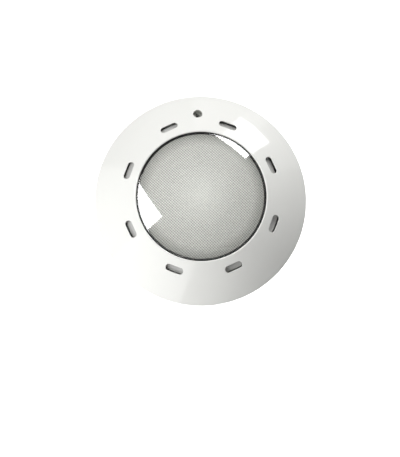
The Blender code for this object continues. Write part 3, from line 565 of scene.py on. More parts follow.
def ring_outline():
    lip = OPENING + 2.0 * MM
    lip_back = CLAMP_FRONT + GAP
    inner_top = (lip, dome_front(lip) - ring_drop())
    inner_foot = (RING_RADIUS - 2.6 * MM, RIM_STANDOFF)
    outer = [(OPENING, CREST, 0.75 * MM)]
    outer += DOME
    outer += [(RING_RADIUS, RIM_STANDOFF + 1.2 * MM, 0.9 * MM)]
    outer += [(RING_RADIUS - 0.4 * MM, RIM_STANDOFF, 0.3 * MM)]
    under = reversed(bowed(inner_top, inner_foot, DOME_BOW, 20))
    return outer + list(under) + [(lip, lip_back, 0.2 * MM), (OPENING, lip_back, 0.2 * MM)]


def slot_outline(growth):
    """A slot with round ends, long across X."""
    radius, reach = SLOT_WIDTH / 2 + growth, (SLOT_LENGTH - SLOT_WIDTH) / 2
    return arc((reach, 0), radius, -90, 90, 12) + arc((-reach, 0), radius, 90, 270, 12)


def well_outline(growth):
    return polygon(WELL_BORE + growth, 48)


def flared_cutter(outline_at, place, bottom, fillet, steps=6):
    """A cutter whose outline grows to a fillet where it leaves the ring's domed surface.

    outline_at(growth) gives (x, y) points. place is a matrix in the plane of the ring.
    """
    bm = bmesh.new()
    levels = [(0.0, None)]
    for i in range(steps + 1):
        a = math.pi / 2 * i / steps
        levels.append((fillet * (1 - math.cos(a)), fillet * (1 - math.sin(a))))
    levels.append((fillet * 1.6, -1.2 * MM))
    rings = []
    for growth, depth in levels:
        ring = []
        for x, y in outline_at(growth):
            spot = place @ Vector((x, y, 0))
            height = bottom if depth is None else dome_front(spot.xy.length) - depth
            ring.append(bm.verts.new((spot.x, spot.y, height)))
        rings.append(ring)
    bmesh.ops.triangulate(bm, faces=[skin(bm, rings)])
    bmesh.ops.recalc_face_normals(bm, faces=bm.faces)
    return bm


def snap_arm(angle):
    """A springy arm on the ring that clips behind the lamp's flange."""
    arm, tip = LAMP_RADIUS + 0.7 * MM, LAMP_RADIUS - 1.0 * MM
    catch = FLANGE_BACK - 0.2 * MM
    end = catch - 1.8 * MM
    outline = [
        (arm, 22.9 * MM), (arm + 2.0 * MM, 22.9 * MM), (arm + 2.0 * MM, end, 0.8 * MM),
        (tip + 1.0 * MM, end, 0.4 * MM), (tip, catch - 0.8 * MM, 0.3 * MM),
        (tip, catch, 0.15 * MM), (arm, catch, 0.2 * MM),
    ]
    half = 5.0 * MM
    bm = prism(rounded(outline, 3), -half, half, bevel=0.3 * MM)
    upright = Matrix.Rotation(math.radians(90), 4, "X")
    return moved(bm, upright, spin(angle))


def pilot_well():
    """The tube round the pilot screw, up to just under the ring's outer surface."""
    wall = WELL_BORE + WELL_WALL
    sunk = 0.6 * RING_WALL
    outline = [
        (0, FLANGE_FRONT + GAP), (wall, FLANGE_FRONT + GAP, 0.3 * MM), (wall, CREST),
        (0, CREST),
    ]
    bm = moved(solid(outline, 48), shift(*PILOT))
    for point in bm.verts:
        if point.co.z > CLAMP_FRONT:
            point.co.z = dome_front(point.co.xy.length) - sunk
    return bm


def face_ring():
    steps = [add(pilot_well())]
    steps += [add(snap_arm(math.pi / 4 + math.pi / 2 * i)) for i in range(4)]
    for i in range(SLOT_COUNT):
        angle = math.tau * (i + 0.5) / SLOT_COUNT
        place = spin(angle) @ shift(SLOT_CIRCLE) @ spin(math.pi / 2)
        slot = flared_cutter(slot_outline, place, CLAMP_FRONT + 1.5 * MM, 0.45 * MM)
        steps.append(cut(slot))
    well = flared_cutter(well_outline, shift(*PILOT), FLANGE_FRONT - MM, 0.4 * MM)
    steps.append(cut(well))
    bm = combined(turned(ring_outline(), FINE), *steps)
    show("face_ring", bm, GLOSS_WHITE)


# ---------------------------------------------------------------- the sealed lamp
LENS_RADIUS = OPENING - 0.95 * MM
LENS_FLANGE = radius_of("lens")
LENS_SKIRT = OPENING - 2.0 * MM
LENS_TOP = front_of("lens")
LENS_EDGE = CREST - 1.1 * MM
LENS_FLANGE_FRONT = 12.1 * MM
BOOT_FRONT = 13.6 * MM
STIPPLE_DEPTH = 0.07 * MM
STIPPLE_STEP = 0.38 * MM
STIPPLE_TOP = LENS_TOP - 1.3 * MM
CAP_RADIUS = (LENS_RADIUS**2 + (LENS_TOP - LENS_EDGE) ** 2) / (2 * (LENS_TOP - LENS_EDGE))


def cap_front(radius, top):
    """Height of a spherical cap under the lens's front."""
    return top - (CAP_RADIUS - math.sqrt(CAP_RADIUS**2 - radius**2))


def lens():
    """The clear window: a domed front, a skirt and the flange that the clamp ring holds."""
    reach = LENS_RADIUS - 0.8 * MM
    outside = [(reach * i / 40, cap_front(reach * i / 40, LENS_TOP)) for i in range(41)]
    inside = [(LENS_SKIRT * i / 30, cap_front(LENS_SKIRT * i / 30, LENS_TOP - MM)) for i in range(31)]
    outline = outside + [
        (LENS_RADIUS, LENS_EDGE, 0.6 * MM), (LENS_RADIUS, LENS_FLANGE_FRONT),
        (LENS_FLANGE, LENS_FLANGE_FRONT, 0.4 * MM),
        (LENS_FLANGE, FLANGE_FRONT + GAP, 0.3 * MM),
        (LENS_SKIRT, FLANGE_FRONT + GAP, 0.2 * MM),
    ]
    bm = solid(outline + inside[::-1], 192)
    show("lens", bm, clear_window("clear_polycarbonate"))


def lens_stipple():
    """The window's moulded inner layer, with a fine square lattice of bumps on its diagonals."""
    radius = LENS_SKIRT - 0.05 * MM
    reach = int(radius / STIPPLE_STEP)
    bm = bmesh.new()
    grid = {}
    for i in range(-reach, reach + 1):
        for j in range(-reach, reach + 1):
            x, y = i * STIPPLE_STEP, j * STIPPLE_STEP
            distance = math.hypot(x, y)
            if distance <= radius - 0.3 * STIPPLE_STEP:
                rising, falling = STIPPLE_WAVE * (x + y), STIPPLE_WAVE * (x - y)
                bumps = STIPPLE_DEPTH * (math.cos(rising) + SECOND_WAVE * math.cos(falling))
                grid[i, j] = bm.verts.new((x, y, cap_front(distance, STIPPLE_TOP) + bumps))
    for (i, j), corner in grid.items():
        square = [grid.get((i + a, j + b)) for a, b in ((0, 0), (1, 0), (1, 1), (0, 1))]
        if None not in square:
            bm.faces.new(square)
        elif square.count(None) == 1:
            bm.faces.new([v for v in square if v])
    loose = [v for v in bm.verts if not v.link_faces]
    bmesh.ops.delete(bm, geom=loose, context="VERTS")
    for v in bm.verts:
        if v.is_boundary:
            distance = v.co.xy.length
            v.co.x *= radius / distance
            v.co.y *= radius / distance
            v.co.z = cap_front(radius, STIPPLE_TOP)
    below = bmesh.ops.extrude_face_region(bm, geom=bm.faces[:])["geom"]
    sunk = [v for v in below if isinstance(v, bmesh.types.BMVert)]
    for v in sunk:
        v.co.z = cap_front(min(v.co.xy.length, radius), STIPPLE_TOP) - 0.9 * MM
    bmesh.ops.recalc_face_normals(bm, faces=bm.faces)
    look = stippled_window("stippled_polycarbonate", radius)
    show("lens_stipple", bm, look, node="lens", sharp=50)


def lens_boot():
    inner, outer = LENS_RADIUS + 0.2 * MM, OPENING - 0.2 * MM
    outline = [
        (inner, LENS_EDGE - 0.6 * MM, 0.2 * MM), (outer, LENS_EDGE - 0.6 * MM, 0.2 * MM),
        (outer, BOOT_FRONT, 0.3 * MM), (LENS_FLANGE, BOOT_FRONT, 0.4 * MM),
        (LENS_FLANGE, LENS_FLANGE_FRONT + GAP, 0.3 * MM), (inner, LENS_FLANGE_FRONT + GAP),
    ]
    show("lens_boot", turned(outline, 192), RUBBER)


def lens_oring():
    low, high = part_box("lens_oring")
    section = (high.y - low.y) / 2
    outline = arc((high.x - 1.1 * MM, 0), 1.1 * MM, 0, 337.5, 15)
    bm = moved(turned(outline, 128), shift(z=WALL - (low.y + high.y) / 2))
    show("lens_oring", bm, RUBBER)


def screw_places(prefix, count):
    return [centre_of(f"{prefix}_{i}") for i in range(1, count + 1)]


def drill(radius, bottom, top, at=(0, 0), segments=32):
    outline = [(0, top), (radius, top), (radius, bottom), (0, bottom)]
    return moved(solid(outline, segments), shift(*at))


def drills(places, radius, bottom, top):
    return [cut(drill(radius, bottom, top, at)) for at in places]


CLAMP_PLACES = screw_places("clamp_screw", 8)
WALL_PLACES = screw_places("wall_screw", 4)
BOARD_PLACES = screw_places("board_screw", 3)


BAFFLE_FOOT = OPENING + 2.8 * MM
BAFFLE_TOP = OPENING + 4.0 * MM
BAFFLE_GAP = 1.0 * MM
SCREW_BAY = 8.4 * MM


def clamp_ring():
    """The ring that presses the lens down, with a baffle behind each slot of the face ring."""
    inner = OPENING + 0.3 * MM
    skirt = LENS_FLANGE + 0.5 * MM
    drop = ring_drop() + BAFFLE_GAP
    outline = [
        (inner, CLAMP_FRONT, 0.3 * MM), (BAFFLE_FOOT, CLAMP_FRONT, 0.3 * MM),
        (BAFFLE_TOP, dome_front(BAFFLE_TOP) - drop, 0.5 * MM),
        (LAMP_RADIUS, dome_front(LAMP_RADIUS) - drop, 0.6 * MM),
        (LAMP_RADIUS, FLANGE_FRONT + GAP, 0.4 * MM), (skirt, FLANGE_FRONT + GAP, 0.2 * MM),
        (skirt, BOOT_FRONT + GAP), (inner, BOOT_FRONT + GAP, 0.2 * MM),
    ]
    steps = []
    for i in range(4):
        bay_low = (-LAMP_RADIUS - MM, -SCREW_BAY / 2, CLAMP_FRONT)
        bay = block(bay_low, (LAMP_RADIUS + MM, SCREW_BAY / 2, CREST), bevel=0.5 * MM)
        steps.append(cut(moved(bay, spin(math.pi / 4 * i))))
    steps += drills(CLAMP_PLACES, 1.9 * MM, 0, CREST)
    bm = combined(turned(outline, 192), *steps)
    show("clamp_ring", bm, CLAMP_GREY)


# ---------------------------------------------------------------- screws
def threaded(radius, depth, pitch, bottom, top, point=0.0, sides=24, rows=7):
    """A rod with a helical thread, from bottom up to top. point is the length of its tip."""
    bm = bmesh.new()
    count = max(2, int((top - bottom) / pitch * rows))
    rings = []
    for k in range(count + 1):
        z = bottom + (top - bottom) * k / count
        ring = []
        for i in range(sides):
            angle = math.tau * i / sides
            phase = ((z - pitch * i / sides) / pitch) % 1.0
            crest = min(1.0, 2.6 * abs(phase - 0.5))
            taper = min(1.0, 0.12 + (z - bottom) / point) if point else 1.0
            fade = min(1.0, (top - z) / pitch, (z - bottom) / (0.5 * pitch) + 0.2)
            reach = (radius - depth * (1 - crest) * max(fade, 0.0)) * taper
            ring.append(bm.verts.new((reach * math.cos(angle), reach * math.sin(angle), z)))
        rings.append(ring)
    skin(bm, rings)
    return bm


def cross_recess(size, top, depth):
    """A tapered cross that a screwdriver bit fits."""
    arms = []
    for turn in (0, math.pi / 2):
        arm = block((-size, -0.19 * size, top - depth), (size, 0.19 * size, top + size))
        for v in arm.verts:
            if v.co.z < top:
                v.co.x *= 0.35
                v.co.y *= 0.6
        arms.append(moved(arm, spin(turn)))
    return combined(arms[0], add(arms[1]))


PAN_HEIGHT = 0.7  # height of a pan head, as a share of its radius


def pan_screw(name, shank, length, head, pitch=0.8 * MM, point=0.0):
    """A pan-head screw. Its origin is under the head, as in the CAD."""
    height = PAN_HEIGHT * head
    outline = [
        (0, height), (0.45 * head, height), (0.75 * head, 0.93 * height, 0.6 * head),
        (head, 0.5 * height, 0.3 * head), (head, 0, 0.06 * head), (shank * 0.9, 0),
        (shank * 0.9, -0.4 * MM), (0, -0.4 * MM),
    ]
    bm = combined(
        solid(outline, 48),
        cut(cross_recess(0.6 * head, height, 0.4 * head)),
        add(threaded(shank, 0.16 * shank, pitch, -length, -0.1 * MM, point)),
    )
    return mesh_from(name, bm, STEEL, 30)


def countersunk_screw(name):
    """A wall screw. Its origin is at the head's face, as in the CAD."""
    outline = mm(
        (0, 0), (3.85, 0, 0.1), (4.0, -0.15, 0.05), (1.8, -2.35, 0.4), (1.8, -3.2), (0, -3.2),
    )
    bm = combined(
        solid(outline, 48),
        cut(cross_recess(2.1 * MM, 0, 1.4 * MM)),
        add(threaded(1.9 * MM, 0.4 * MM, 1.5 * MM, -32.0 * MM, -3.0 * MM, 4.0 * MM)),
    )
    return mesh_from(name, bm, STEEL, 30)


def turned_screw(mesh, node, number, front):
    """Puts one screw where its CAD node is, each at its own turn."""
    x, y = centre_of(node)
    matrix = AXIS @ shift(x, y, front) @ spin(1.1 * number)
    show(node, mesh, matrix=matrix)


def screws():
    clamp = pan_screw("clamp_screw_mesh", 1.6 * MM, 14.5 * MM, 3.1 * MM)
    for i in range(1, 9):
        turned_screw(clamp, f"clamp_screw_{i}", i, CLAMP_FRONT + GAP)
    wall = countersunk_screw("wall_screw_mesh")
    for i in range(1, 5):
        node = f"wall_screw_{i}"
        turned_screw(wall, node, i, front_of(node))
    head = 2.6 * MM
    board = pan_screw("board_screw_mesh", 1.2 * MM, 8.0 * MM, head, 0.5 * MM)
    for i in range(1, 4):
        node = f"board_screw_{i}"
        turned_screw(board, node, i, front_of(node) - PAN_HEIGHT * head)
    head = 3.5 * MM
    pilot = pan_screw("pilot_screw_mesh", 1.95 * MM, 14.0 * MM, head)
    turned_screw(pilot, "pilot_screw", 0, front_of("pilot_screw") - PAN_HEIGHT * head)


def pilot_washer():
    outline = mm((2.25, 1.0, 0.15), (3.5, 1.0, 0.25), (3.5, 0, 0.25), (2.25, 0, 0.15))
    bm = moved(turned(outline, 64), shift(*PILOT, PILOT_SEAT))
    show("pilot_washer", bm, NYLON)


def knurled(bm, inside, count):
    """Cuts shallow grooves along the outside of a turned ring with 2 * count segments."""
    for v in bm.verts:
        reach = v.co.xy.length
        if reach > inside:
            turn = math.atan2(v.co.y, v.co.x) % math.tau
            if round(turn / math.tau * 2 * count) % 2:
                v.co.x *= 0.965
                v.co.y *= 0.965
    return bm


def pilot_insert():
    low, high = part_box("pilot_insert")
    front, back = WALL - low.y, WALL - high.y
    outline = [
        (2.45 * MM, front, 0.2 * MM), (3.3 * MM, front, 0.2 * MM),
        (3.3 * MM, front - 4.0 * MM), (3.0 * MM, front - 4.3 * MM),
        (3.0 * MM, front - 5.2 * MM), (3.3 * MM, front - 5.5 * MM),
        (3.3 * MM, back, 0.2 * MM), (2.45 * MM, back, 0.2 * MM),
    ]
    bm = knurled(turned(outline, 72), 2.9 * MM, 36)
    show("pilot_insert", moved(bm, shift(*PILOT)), BRASS)


# ---------------------------------------------------------------- the housing
HOUSING_RADIUS = 52.5 * MM
HOUSING_WALL = 2.8 * MM
HOUSING_DEPTH = 24.0 * MM
CHAMBER_RADIUS = 30.0 * MM
CHAMBER_DEPTH = -back_of("housing")
GLAND_LOW, GLAND_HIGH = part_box("lamp_gland_body")
GLAND_X = (GLAND_LOW.x + GLAND_HIGH.x) / 2
GLAND_Y = (GLAND_LOW.y + GLAND_HIGH.y) / 2
GLAND_FACE = GLAND_HIGH.z - 5.0 * MM
HINGE = [joint for joint in frame["joints"] if joint["name"] == "light_tilt"][0]["pos_m"]
HINGE_Y, HINGE_Z = HINGE[1] - WALL, HINGE[2]
BEAD = 1.3 * MM
HOOK_WIDTH = 22.0 * MM
NICHE_FLANGE = front_of("niche_shell")


def sideways(outline, width, bevel=0.3 * MM):
    """An outline of (depth behind the wall, height) points, as a solid width thick along X."""
    flipped = [(-p[0], *p[1:]) for p in outline]
    bm = prism(rounded(flipped, 3), -width / 2, width / 2, bevel)
    to_axis = Matrix(((0, 0, 1, 0), (0, 1, 0, 0), (1, 0, 0, 0), (0, 0, 0, 1)))
    moved(bm, to_axis)
    bmesh.ops.recalc_face_normals(bm, faces=bm.faces)
    return bm


def hook():
    """The arm under the lamp's flange, bent back over the niche's lip to the hinge bead."""
    front, back = -FLANGE_FRONT + 0.2 * MM, -FLANGE_BACK - 0.2 * MM
    thick = 0.8 * MM
    low, high = HINGE_Z + 2.4 * MM, HINGE_Z + 4.4 * MM
    reach = math.degrees(math.asin(thick / BEAD))
    bead = arc((HINGE_Y, HINGE_Z), BEAD, 90 + reach, 450 - reach, 24)
    outline = [(back, -60.0 * MM), (front, -60.0 * MM), (front, low, 0.6 * MM), (HINGE_Y - thick, low)]
    outline += bead + [(HINGE_Y + thick, high, 0.5 * MM), (back, high, 0.3 * MM)]
    return sideways(outline, HOOK_WIDTH, bevel=0.2 * MM)


def in_world(bm):
    """From the frame's axes, but with the wall at Y = 0, into the light's own space."""
    return moved(bm, Matrix.Rotation(math.radians(-90), 4, "X"))


def gland_arm_steps():
    """A hollow arm beside the driver chamber: the gland screws into it from below."""
    behind = GLAND_Y - WALL
    at = shift(GLAND_X, behind)
    arm_radius, arm_top = 9.0 * MM, 9.0 * MM
    outline = [(0, arm_top), (arm_radius, arm_top, 1.5 * MM)]
    outline += [(arm_radius, GLAND_FACE, 0.4 * MM), (0, GLAND_FACE)]
    arm = moved(solid(outline, 64), at)
    web_low = (27.8 * MM, behind - 7.5 * MM, GLAND_FACE + 0.5 * MM)
    web = block(web_low, (GLAND_X, behind + 7.5 * MM, 8.5 * MM), bevel=0.8 * MM)
    bore = drill(6.1 * MM, -9.0 * MM, 6.0 * MM, (GLAND_X, behind), 48)
    way_in = drill(2.9 * MM, 20.0 * MM, GLAND_X, segments=24)
    moved(way_in, spin(math.radians(90), "Y"), shift(0, behind, 2.9 * MM))
    return [
        add(in_world(arm)),
        add(in_world(web)),
        cut(in_world(bore)),
        cut(in_world(way_in)),
    ]


def housing():
    inner = HOUSING_RADIUS - HOUSING_WALL
    ledge = inner - 2.4 * MM
    oring, groove = 57.0 * MM, 1.35 * MM
    depth = FLANGE_FRONT - 2.2 * MM
    outline = [
        (0, HOUSING_WALL - CHAMBER_DEPTH),
        (CHAMBER_RADIUS - HOUSING_WALL, HOUSING_WALL - CHAMBER_DEPTH, 1.2 * MM),
        (CHAMBER_RADIUS - HOUSING_WALL, HOUSING_WALL - HOUSING_DEPTH, 0.5 * MM),
        (ledge, HOUSING_WALL - HOUSING_DEPTH, 0.8 * MM), (ledge, 1.8 * MM, 0.3 * MM),
        (inner, 1.8 * MM, 0.3 * MM), (inner, FLANGE_FRONT, 0.4 * MM),
        (oring - groove, FLANGE_FRONT, 0.2 * MM), (oring - groove, depth, 0.4 * MM),
        (oring + groove, depth, 0.4 * MM), (oring + groove, FLANGE_FRONT, 0.2 * MM),
        (LAMP_RADIUS, FLANGE_FRONT, 0.4 * MM), (LAMP_RADIUS, FLANGE_BACK, 0.4 * MM),
        (HOUSING_RADIUS, FLANGE_BACK, 1.2 * MM),
        (HOUSING_RADIUS - MM, 1.5 * MM - HOUSING_DEPTH, 0.8 * MM),
        (HOUSING_RADIUS - 2.5 * MM, -HOUSING_DEPTH, 0.8 * MM),
        (CHAMBER_RADIUS, -HOUSING_DEPTH, 1.2 * MM),
        (CHAMBER_RADIUS, 2.0 * MM - CHAMBER_DEPTH, 0.8 * MM),
        (CHAMBER_RADIUS - 2.0 * MM, -CHAMBER_DEPTH, 0.8 * MM), (0, -CHAMBER_DEPTH),
    ]
    ear_low = (-7.0 * MM, 60.0 * MM, FLANGE_BACK + 0.2 * MM)
    ear = block(ear_low, (7.0 * MM, PILOT[1] + 6.0 * MM, FLANGE_FRONT - 0.2 * MM), bevel=0.8 * MM)
    steps = [add(ear), add(hook())] + gland_arm_steps()
    rib_low = (-1.0 * MM, CHAMBER_RADIUS - 1.0 * MM, -HOUSING_DEPTH - 9.0 * MM)
    rib_high = (1.0 * MM, CHAMBER_RADIUS + 13.0 * MM, -HOUSING_DEPTH + MM)
    for angle in (60, 120, 180, 240, 300):
        rib = block(rib_low, rib_high)
        for v in rib.verts:
            if v.co.y > CHAMBER_RADIUS and v.co.z < -HOUSING_DEPTH:
                v.co.z = -HOUSING_DEPTH - 0.4 * MM
        steps.append(add(moved(rib, spin(math.radians(angle)))))
    steps += drills([PILOT], 2.4 * MM, 0, CREST) + drills(CLAMP_PLACES, 1.9 * MM, 0, CREST)
    bm = combined(solid(outline, 160), *steps)
    show("housing", bm, SATIN_GREY)


# ---------------------------------------------------------------- glands
CABLE_RADIUS = (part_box("cable_entry")[1].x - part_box("cable_entry")[0].x) / 2


def hexagon(radius, bottom, top, chamfer):
    """A hexagonal collar with turned chamfers on its corners."""
    collar = prism(polygon(radius, 6), bottom, top)
    flat, drop = radius - chamfer, 0.6 * chamfer
    outline = [(0, top), (flat, top), (radius, top - drop)]
    outline += [(radius, bottom + drop), (flat, bottom), (0, bottom)]
    return combined(collar, ("INTERSECT", solid(outline, 96)))


def gland(prefix, matrix, stub_radius, stub_length):
    """A compression gland. matrix puts its screwed face at the origin, pointing along +Z."""
    bore = CABLE_RADIUS + 0.3 * MM
    through = drill(bore, -30 * MM, 30 * MM)
    shape = combined(
        hexagon(8.6 * MM, 0.4 * MM, 4.6 * MM, 0.9 * MM),
        add(threaded(6.2 * MM, 0.4 * MM, 1.5 * MM, 4.0 * MM, 10.5 * MM, sides=48)),
        add(threaded(stub_radius, 0.4 * MM, 1.5 * MM, -stub_length, 1.0 * MM, sides=48)),
        cut(through),
    )
    show(f"{prefix}_body", shape, BLACK_NYLON, matrix, sharp=28)
    seal = [
        (bore, 15.6 * MM, 0.2 * MM), (4.9 * MM, 15.6 * MM, 0.3 * MM),
        (5.6 * MM, 10.9 * MM, 0.3 * MM), (bore, 10.9 * MM, 0.2 * MM),
    ]
    show(f"{prefix}_seal", turned(seal, 64), RUBBER, matrix)
    dome = mm(
        (0, 18.6), (5.6, 18.6, 1.2), (8.1, 13.4, 2.0), (8.4, 12.0), (8.4, 5.8), (7.7, 5.2),
        (0, 5.2),
    )
    hollow = mm((0, 16.4), (5.3, 16.4), (6.6, 12.5), (6.6, 4.0), (0, 4.0))
    crown = mm((0, 18.6), (5.6, 18.6, 1.2), (7.25, 13.4, 2.0), (7.25, 8.0), (0, 8.0))
    nut = combined(
        prism(polygon(8.4 * MM, 6), 5.2 * MM, 12.6 * MM),
        add(solid(crown, 96)),
        ("INTERSECT", solid(dome, 96)),
        cut(solid(hollow, 64)),
        cut(drill(bore + 0.2 * MM, 10 * MM, 30 * MM)),
    )
    show(f"{prefix}_nut", nut, BLACK_NYLON, matrix, sharp=28)


def glands():
    lamp = Matrix.Translation((GLAND_X, GLAND_Y, GLAND_FACE)) @ spin(math.pi, "X")
    gland("lamp_gland", lamp, 5.8 * MM, 5.0 * MM)
    x, y = centre_of("conduit_gland_body")
    floor = back_of("conduit_gland_body") + 12.0 * MM
    gland("conduit_gland", AXIS @ shift(x, y, floor), 7.6 * MM, 12.0 * MM)


# ---------------------------------------------------------------- cable
def hermite(start, start_way, end, end_way, steps):
    """Points on the smooth curve that leaves start along start_way and arrives along end_way."""
    found = []
    for i in range(steps + 1):
        t = i / steps
        found.append(
            Vector(start) * (2 * t**3 - 3 * t**2 + 1)
            + Vector(start_way) * (t**3 - 2 * t**2 + t)
            + Vector(end) * (3 * t**2 - 2 * t**3)
            + Vector(end_way) * (t**3 - t**2)
        )
    return found


COIL_PITCH = 11.0 * MM
COIL_START_Y = GLAND_Y + 3.0 * MM
COIL_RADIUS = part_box("supply_cable")[1].x - CABLE_RADIUS
COIL_FIRST, COIL_TURN = math.radians(-80), math.radians(-510)
PORT_Z = centre_of("conduit_gland_body")[1]
CABLE_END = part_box("supply_cable")[1].y


def coil_point(share):
    """A place along the coil behind the lamp, as the share of its length."""
    angle = COIL_FIRST + COIL_TURN * share
    back = COIL_START_Y + COIL_PITCH * share * -COIL_TURN / math.tau
    return Vector((COIL_RADIUS * math.cos(angle), back, COIL_RADIUS * math.sin(angle)))


def coil_way(share, length):
    angle = COIL_FIRST + COIL_TURN * share
    return Vector((math.sin(angle), 0, -math.cos(angle))) * length


def cables():
    mouth = Vector((GLAND_X, GLAND_Y, GLAND_FACE - 28.0 * MM))
    start = mouth - Vector((0, 0, 3.0 * MM))
    lead_in = [mouth] + hermite(start, (0, 0, -34 * MM), coil_point(0), coil_way(0, 34 * MM), 40)
    lead = swept(lead_in, CABLE_RADIUS, 28, rounding=0.02)
    mesh = mesh_from("supply_cable_lead", lead, CABLE_RUBBER)
    made = bpy.data.objects.new("supply_cable_lead_visual", mesh)
    bpy.context.scene.collection.objects.link(made)
    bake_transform(made)
    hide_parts("supply_cable")
    coil = [coil_point(i / 200) for i in range(201)]
    port = Vector((0, CABLE_END - 73.0 * MM, PORT_Z))
    tail = Vector((0, CABLE_END, PORT_Z))
    lead_out = hermite(coil[-1], coil_way(1, 40 * MM), port, (0, 45 * MM, 0), 40)
    path = coil + lead_out[1:] + [port.lerp(tail, i / 12) for i in range(1, 13)]
    whole = swept(path, CABLE_RADIUS, 28, rounding=0.02)
    show("supply_cable", whole, CABLE_RUBBER, Matrix())
    high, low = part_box("cable_entry")[1].z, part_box("cable_entry")[0].z
    stub = swept([(GLAND_X, GLAND_Y, high), (GLAND_X, GLAND_Y, low)], CABLE_RADIUS, 28, 0.08)
    show("cable_entry", stub, CABLE_RUBBER, Matrix())


def stranded(start, end, radius, strands=7):
    """Bare twisted copper strands from start to end."""
    along = (end - start).normalized()
    side = along.orthogonal().normalized()
    up = along.cross(side)
    twisted = []
    for k in range(strands):
        spread = 0 if k == 0 else radius * 0.66
        points = []
        for i in range(17):
            a = math.tau * (k / (strands - 1) + 0.35 * i / 16)
            offset = (side * math.cos(a) + up * math.sin(a)) * spread
            points.append(start.lerp(end, i / 16) + offset)
        twisted.append(swept(points, radius / 3, 8, rounding=0.2))
    return merged(*twisted)


def wires():
    core = 1.1 * MM
    terminal = 17.9 * MM
    for name, look, off in (("brown", BROWN_PVC, 1.3 * MM), ("blue", BLUE_PVC, -1.3 * MM)):
        up = Vector((GLAND_X + off, GLAND_Y + off, 0))
        end = Vector((terminal, GLAND_Y + off, 3.2 * MM))
        points = hermite(up, (0, 0, 6 * MM), end, (-26 * MM, 0, 0), 32)
        node = f"core_{name}"
        show(node, swept(points, core, 16), look, Matrix())
        node = f"tail_core_{name}"
        low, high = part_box(node)
        at = Vector(((low.x + high.x) / 2, 0, (low.z + high.z) / 2))
        lean = Vector((off * 0.5, 0, 0))
        start, end = at - lean + Vector((0, low.y, 0)), at + lean + Vector((0, high.y, 0))
        bared = start.lerp(end, 0.62)
        show(node, swept([start, bared], core, 16), look, Matrix())
        strands = stranded(bared - (end - start) * 0.02, end, core * 0.75)
        show(f"{node}_strands", strands, TINNED, Matrix(), node=node)
    for node, sign, look in (("led_lead_red", -1, RED_PVC), ("led_lead_black", 1, BLACK_PVC)):
        low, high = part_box(node)
        x = sign * 3.0 * MM
        z = -31.0 * MM
        behind = Vector((x, WALL + 13.0 * MM, z))
        away = Vector((0, 12 * MM, 0))
        end = Vector((2 * x, high.y, -17.0 * MM))
        points = [Vector((x, low.y, z))] + hermite(behind, away, end, away, 24)
        show(node, swept(points, 0.8 * MM, 14), look, Matrix())


# ---------------------------------------------------------------- the niche
def hook_seat():
    """A notch in the flange's edge, with a round-bottomed groove that the bead turns in."""
    groove = BEAD + 0.3 * MM
    cover = -1.15 * MM
    lip = HINGE_Z + 0.8 * MM
    outline = [(cover, -68.0 * MM), (-NICHE_FLANGE - MM, -68.0 * MM), (-NICHE_FLANGE - MM, lip)]
    outline += [(HINGE_Y - groove, lip)] + arc((HINGE_Y, HINGE_Z), groove, 180, 360, 24)
    outline += [(HINGE_Y + groove, lip), (cover, lip + 0.3 * MM)]
    return sideways(outline, HOOK_WIDTH + 2.0 * MM, bevel=0)


def niche_shell():
    depth = -WALL
    bore, wall, draft = 70.0 * MM, 3.0 * MM, 2.0 * MM
    flange = 82.0 * MM
    outer = bore + wall
    floor = wall - depth
    outline = [
        (0, floor), (bore - draft, floor, 2.0 * MM), (bore, 0),
        (bore, NICHE_FLANGE, 0.8 * MM), (flange, NICHE_FLANGE, 1.6 * MM),
        (flange, 0, 0.5 * MM), (outer, 0, 0.8 * MM),
    ]
    for rib in (-30.0 * MM, -62.0 * MM):
        side = outer + draft * rib / depth
        outline += [(side, rib, 0.8 * MM), (side + 4.0 * MM, rib - 1.0 * MM, 0.6 * MM)]
        outline += [(side + 4.0 * MM, rib - 3.0 * MM, 0.6 * MM), (side, rib - 4.0 * MM, 0.8 * MM)]
    outline += [(outer - draft, 3.0 * MM - depth, 1.0 * MM)]
    outline += [(outer - draft - 3.0 * MM, -depth, 1.0 * MM), (0, -depth)]
    wide, front, back = 6.0 * MM, NICHE_FLANGE - 0.1 * MM, -9.0 * MM
    boss = [(0, front), (wide, front), (wide, back, 1.5 * MM), (0, back)]
    spigot = [
        (0, floor - MM), (16.6 * MM, floor - MM), (16.6 * MM, -depth - 19.2 * MM),
        (15.8 * MM, -depth - 20.0 * MM), (0, -depth - 20.0 * MM),
    ]
    sink = [
        (0, NICHE_FLANGE + 0.5 * MM), (5.1 * MM, NICHE_FLANGE + 0.5 * MM),
        (4.6 * MM, NICHE_FLANGE), (2.3 * MM, NICHE_FLANGE - 2.6 * MM),
        (2.3 * MM, -6.0 * MM), (0, -6.0 * MM),
    ]
    port = shift(0, PORT_Z)
    steps = [
        add(moved(solid(boss, 64), shift(*PILOT))),
        add(moved(solid(spigot, 96), port)),
        cut(drill(8.0 * MM, -depth - 30 * MM, floor + 5 * MM, (0, PORT_Z), 64)),
        cut(drill(3.6 * MM, -6.0 * MM, 9.0 * MM, PILOT, 48)),
        cut(hook_seat()),
    ]
    for place in WALL_PLACES:
        steps.append(cut(moved(solid(sink, 48), shift(*place))))
    bm = combined(solid(outline, 192), *steps)
    show("niche_shell", bm, NICHE_PLASTIC)


# ---------------------------------------------------------------- optics and electronics
SINK_FRONT, SINK_BACK = front_of("heat_sink"), back_of("heat_sink")
SINK_RADIUS = radius_of("heat_sink")
BOARD_FRONT = front_of("led_board")
LEAD_X, LEAD_Z = 3.0 * MM, -31.0 * MM


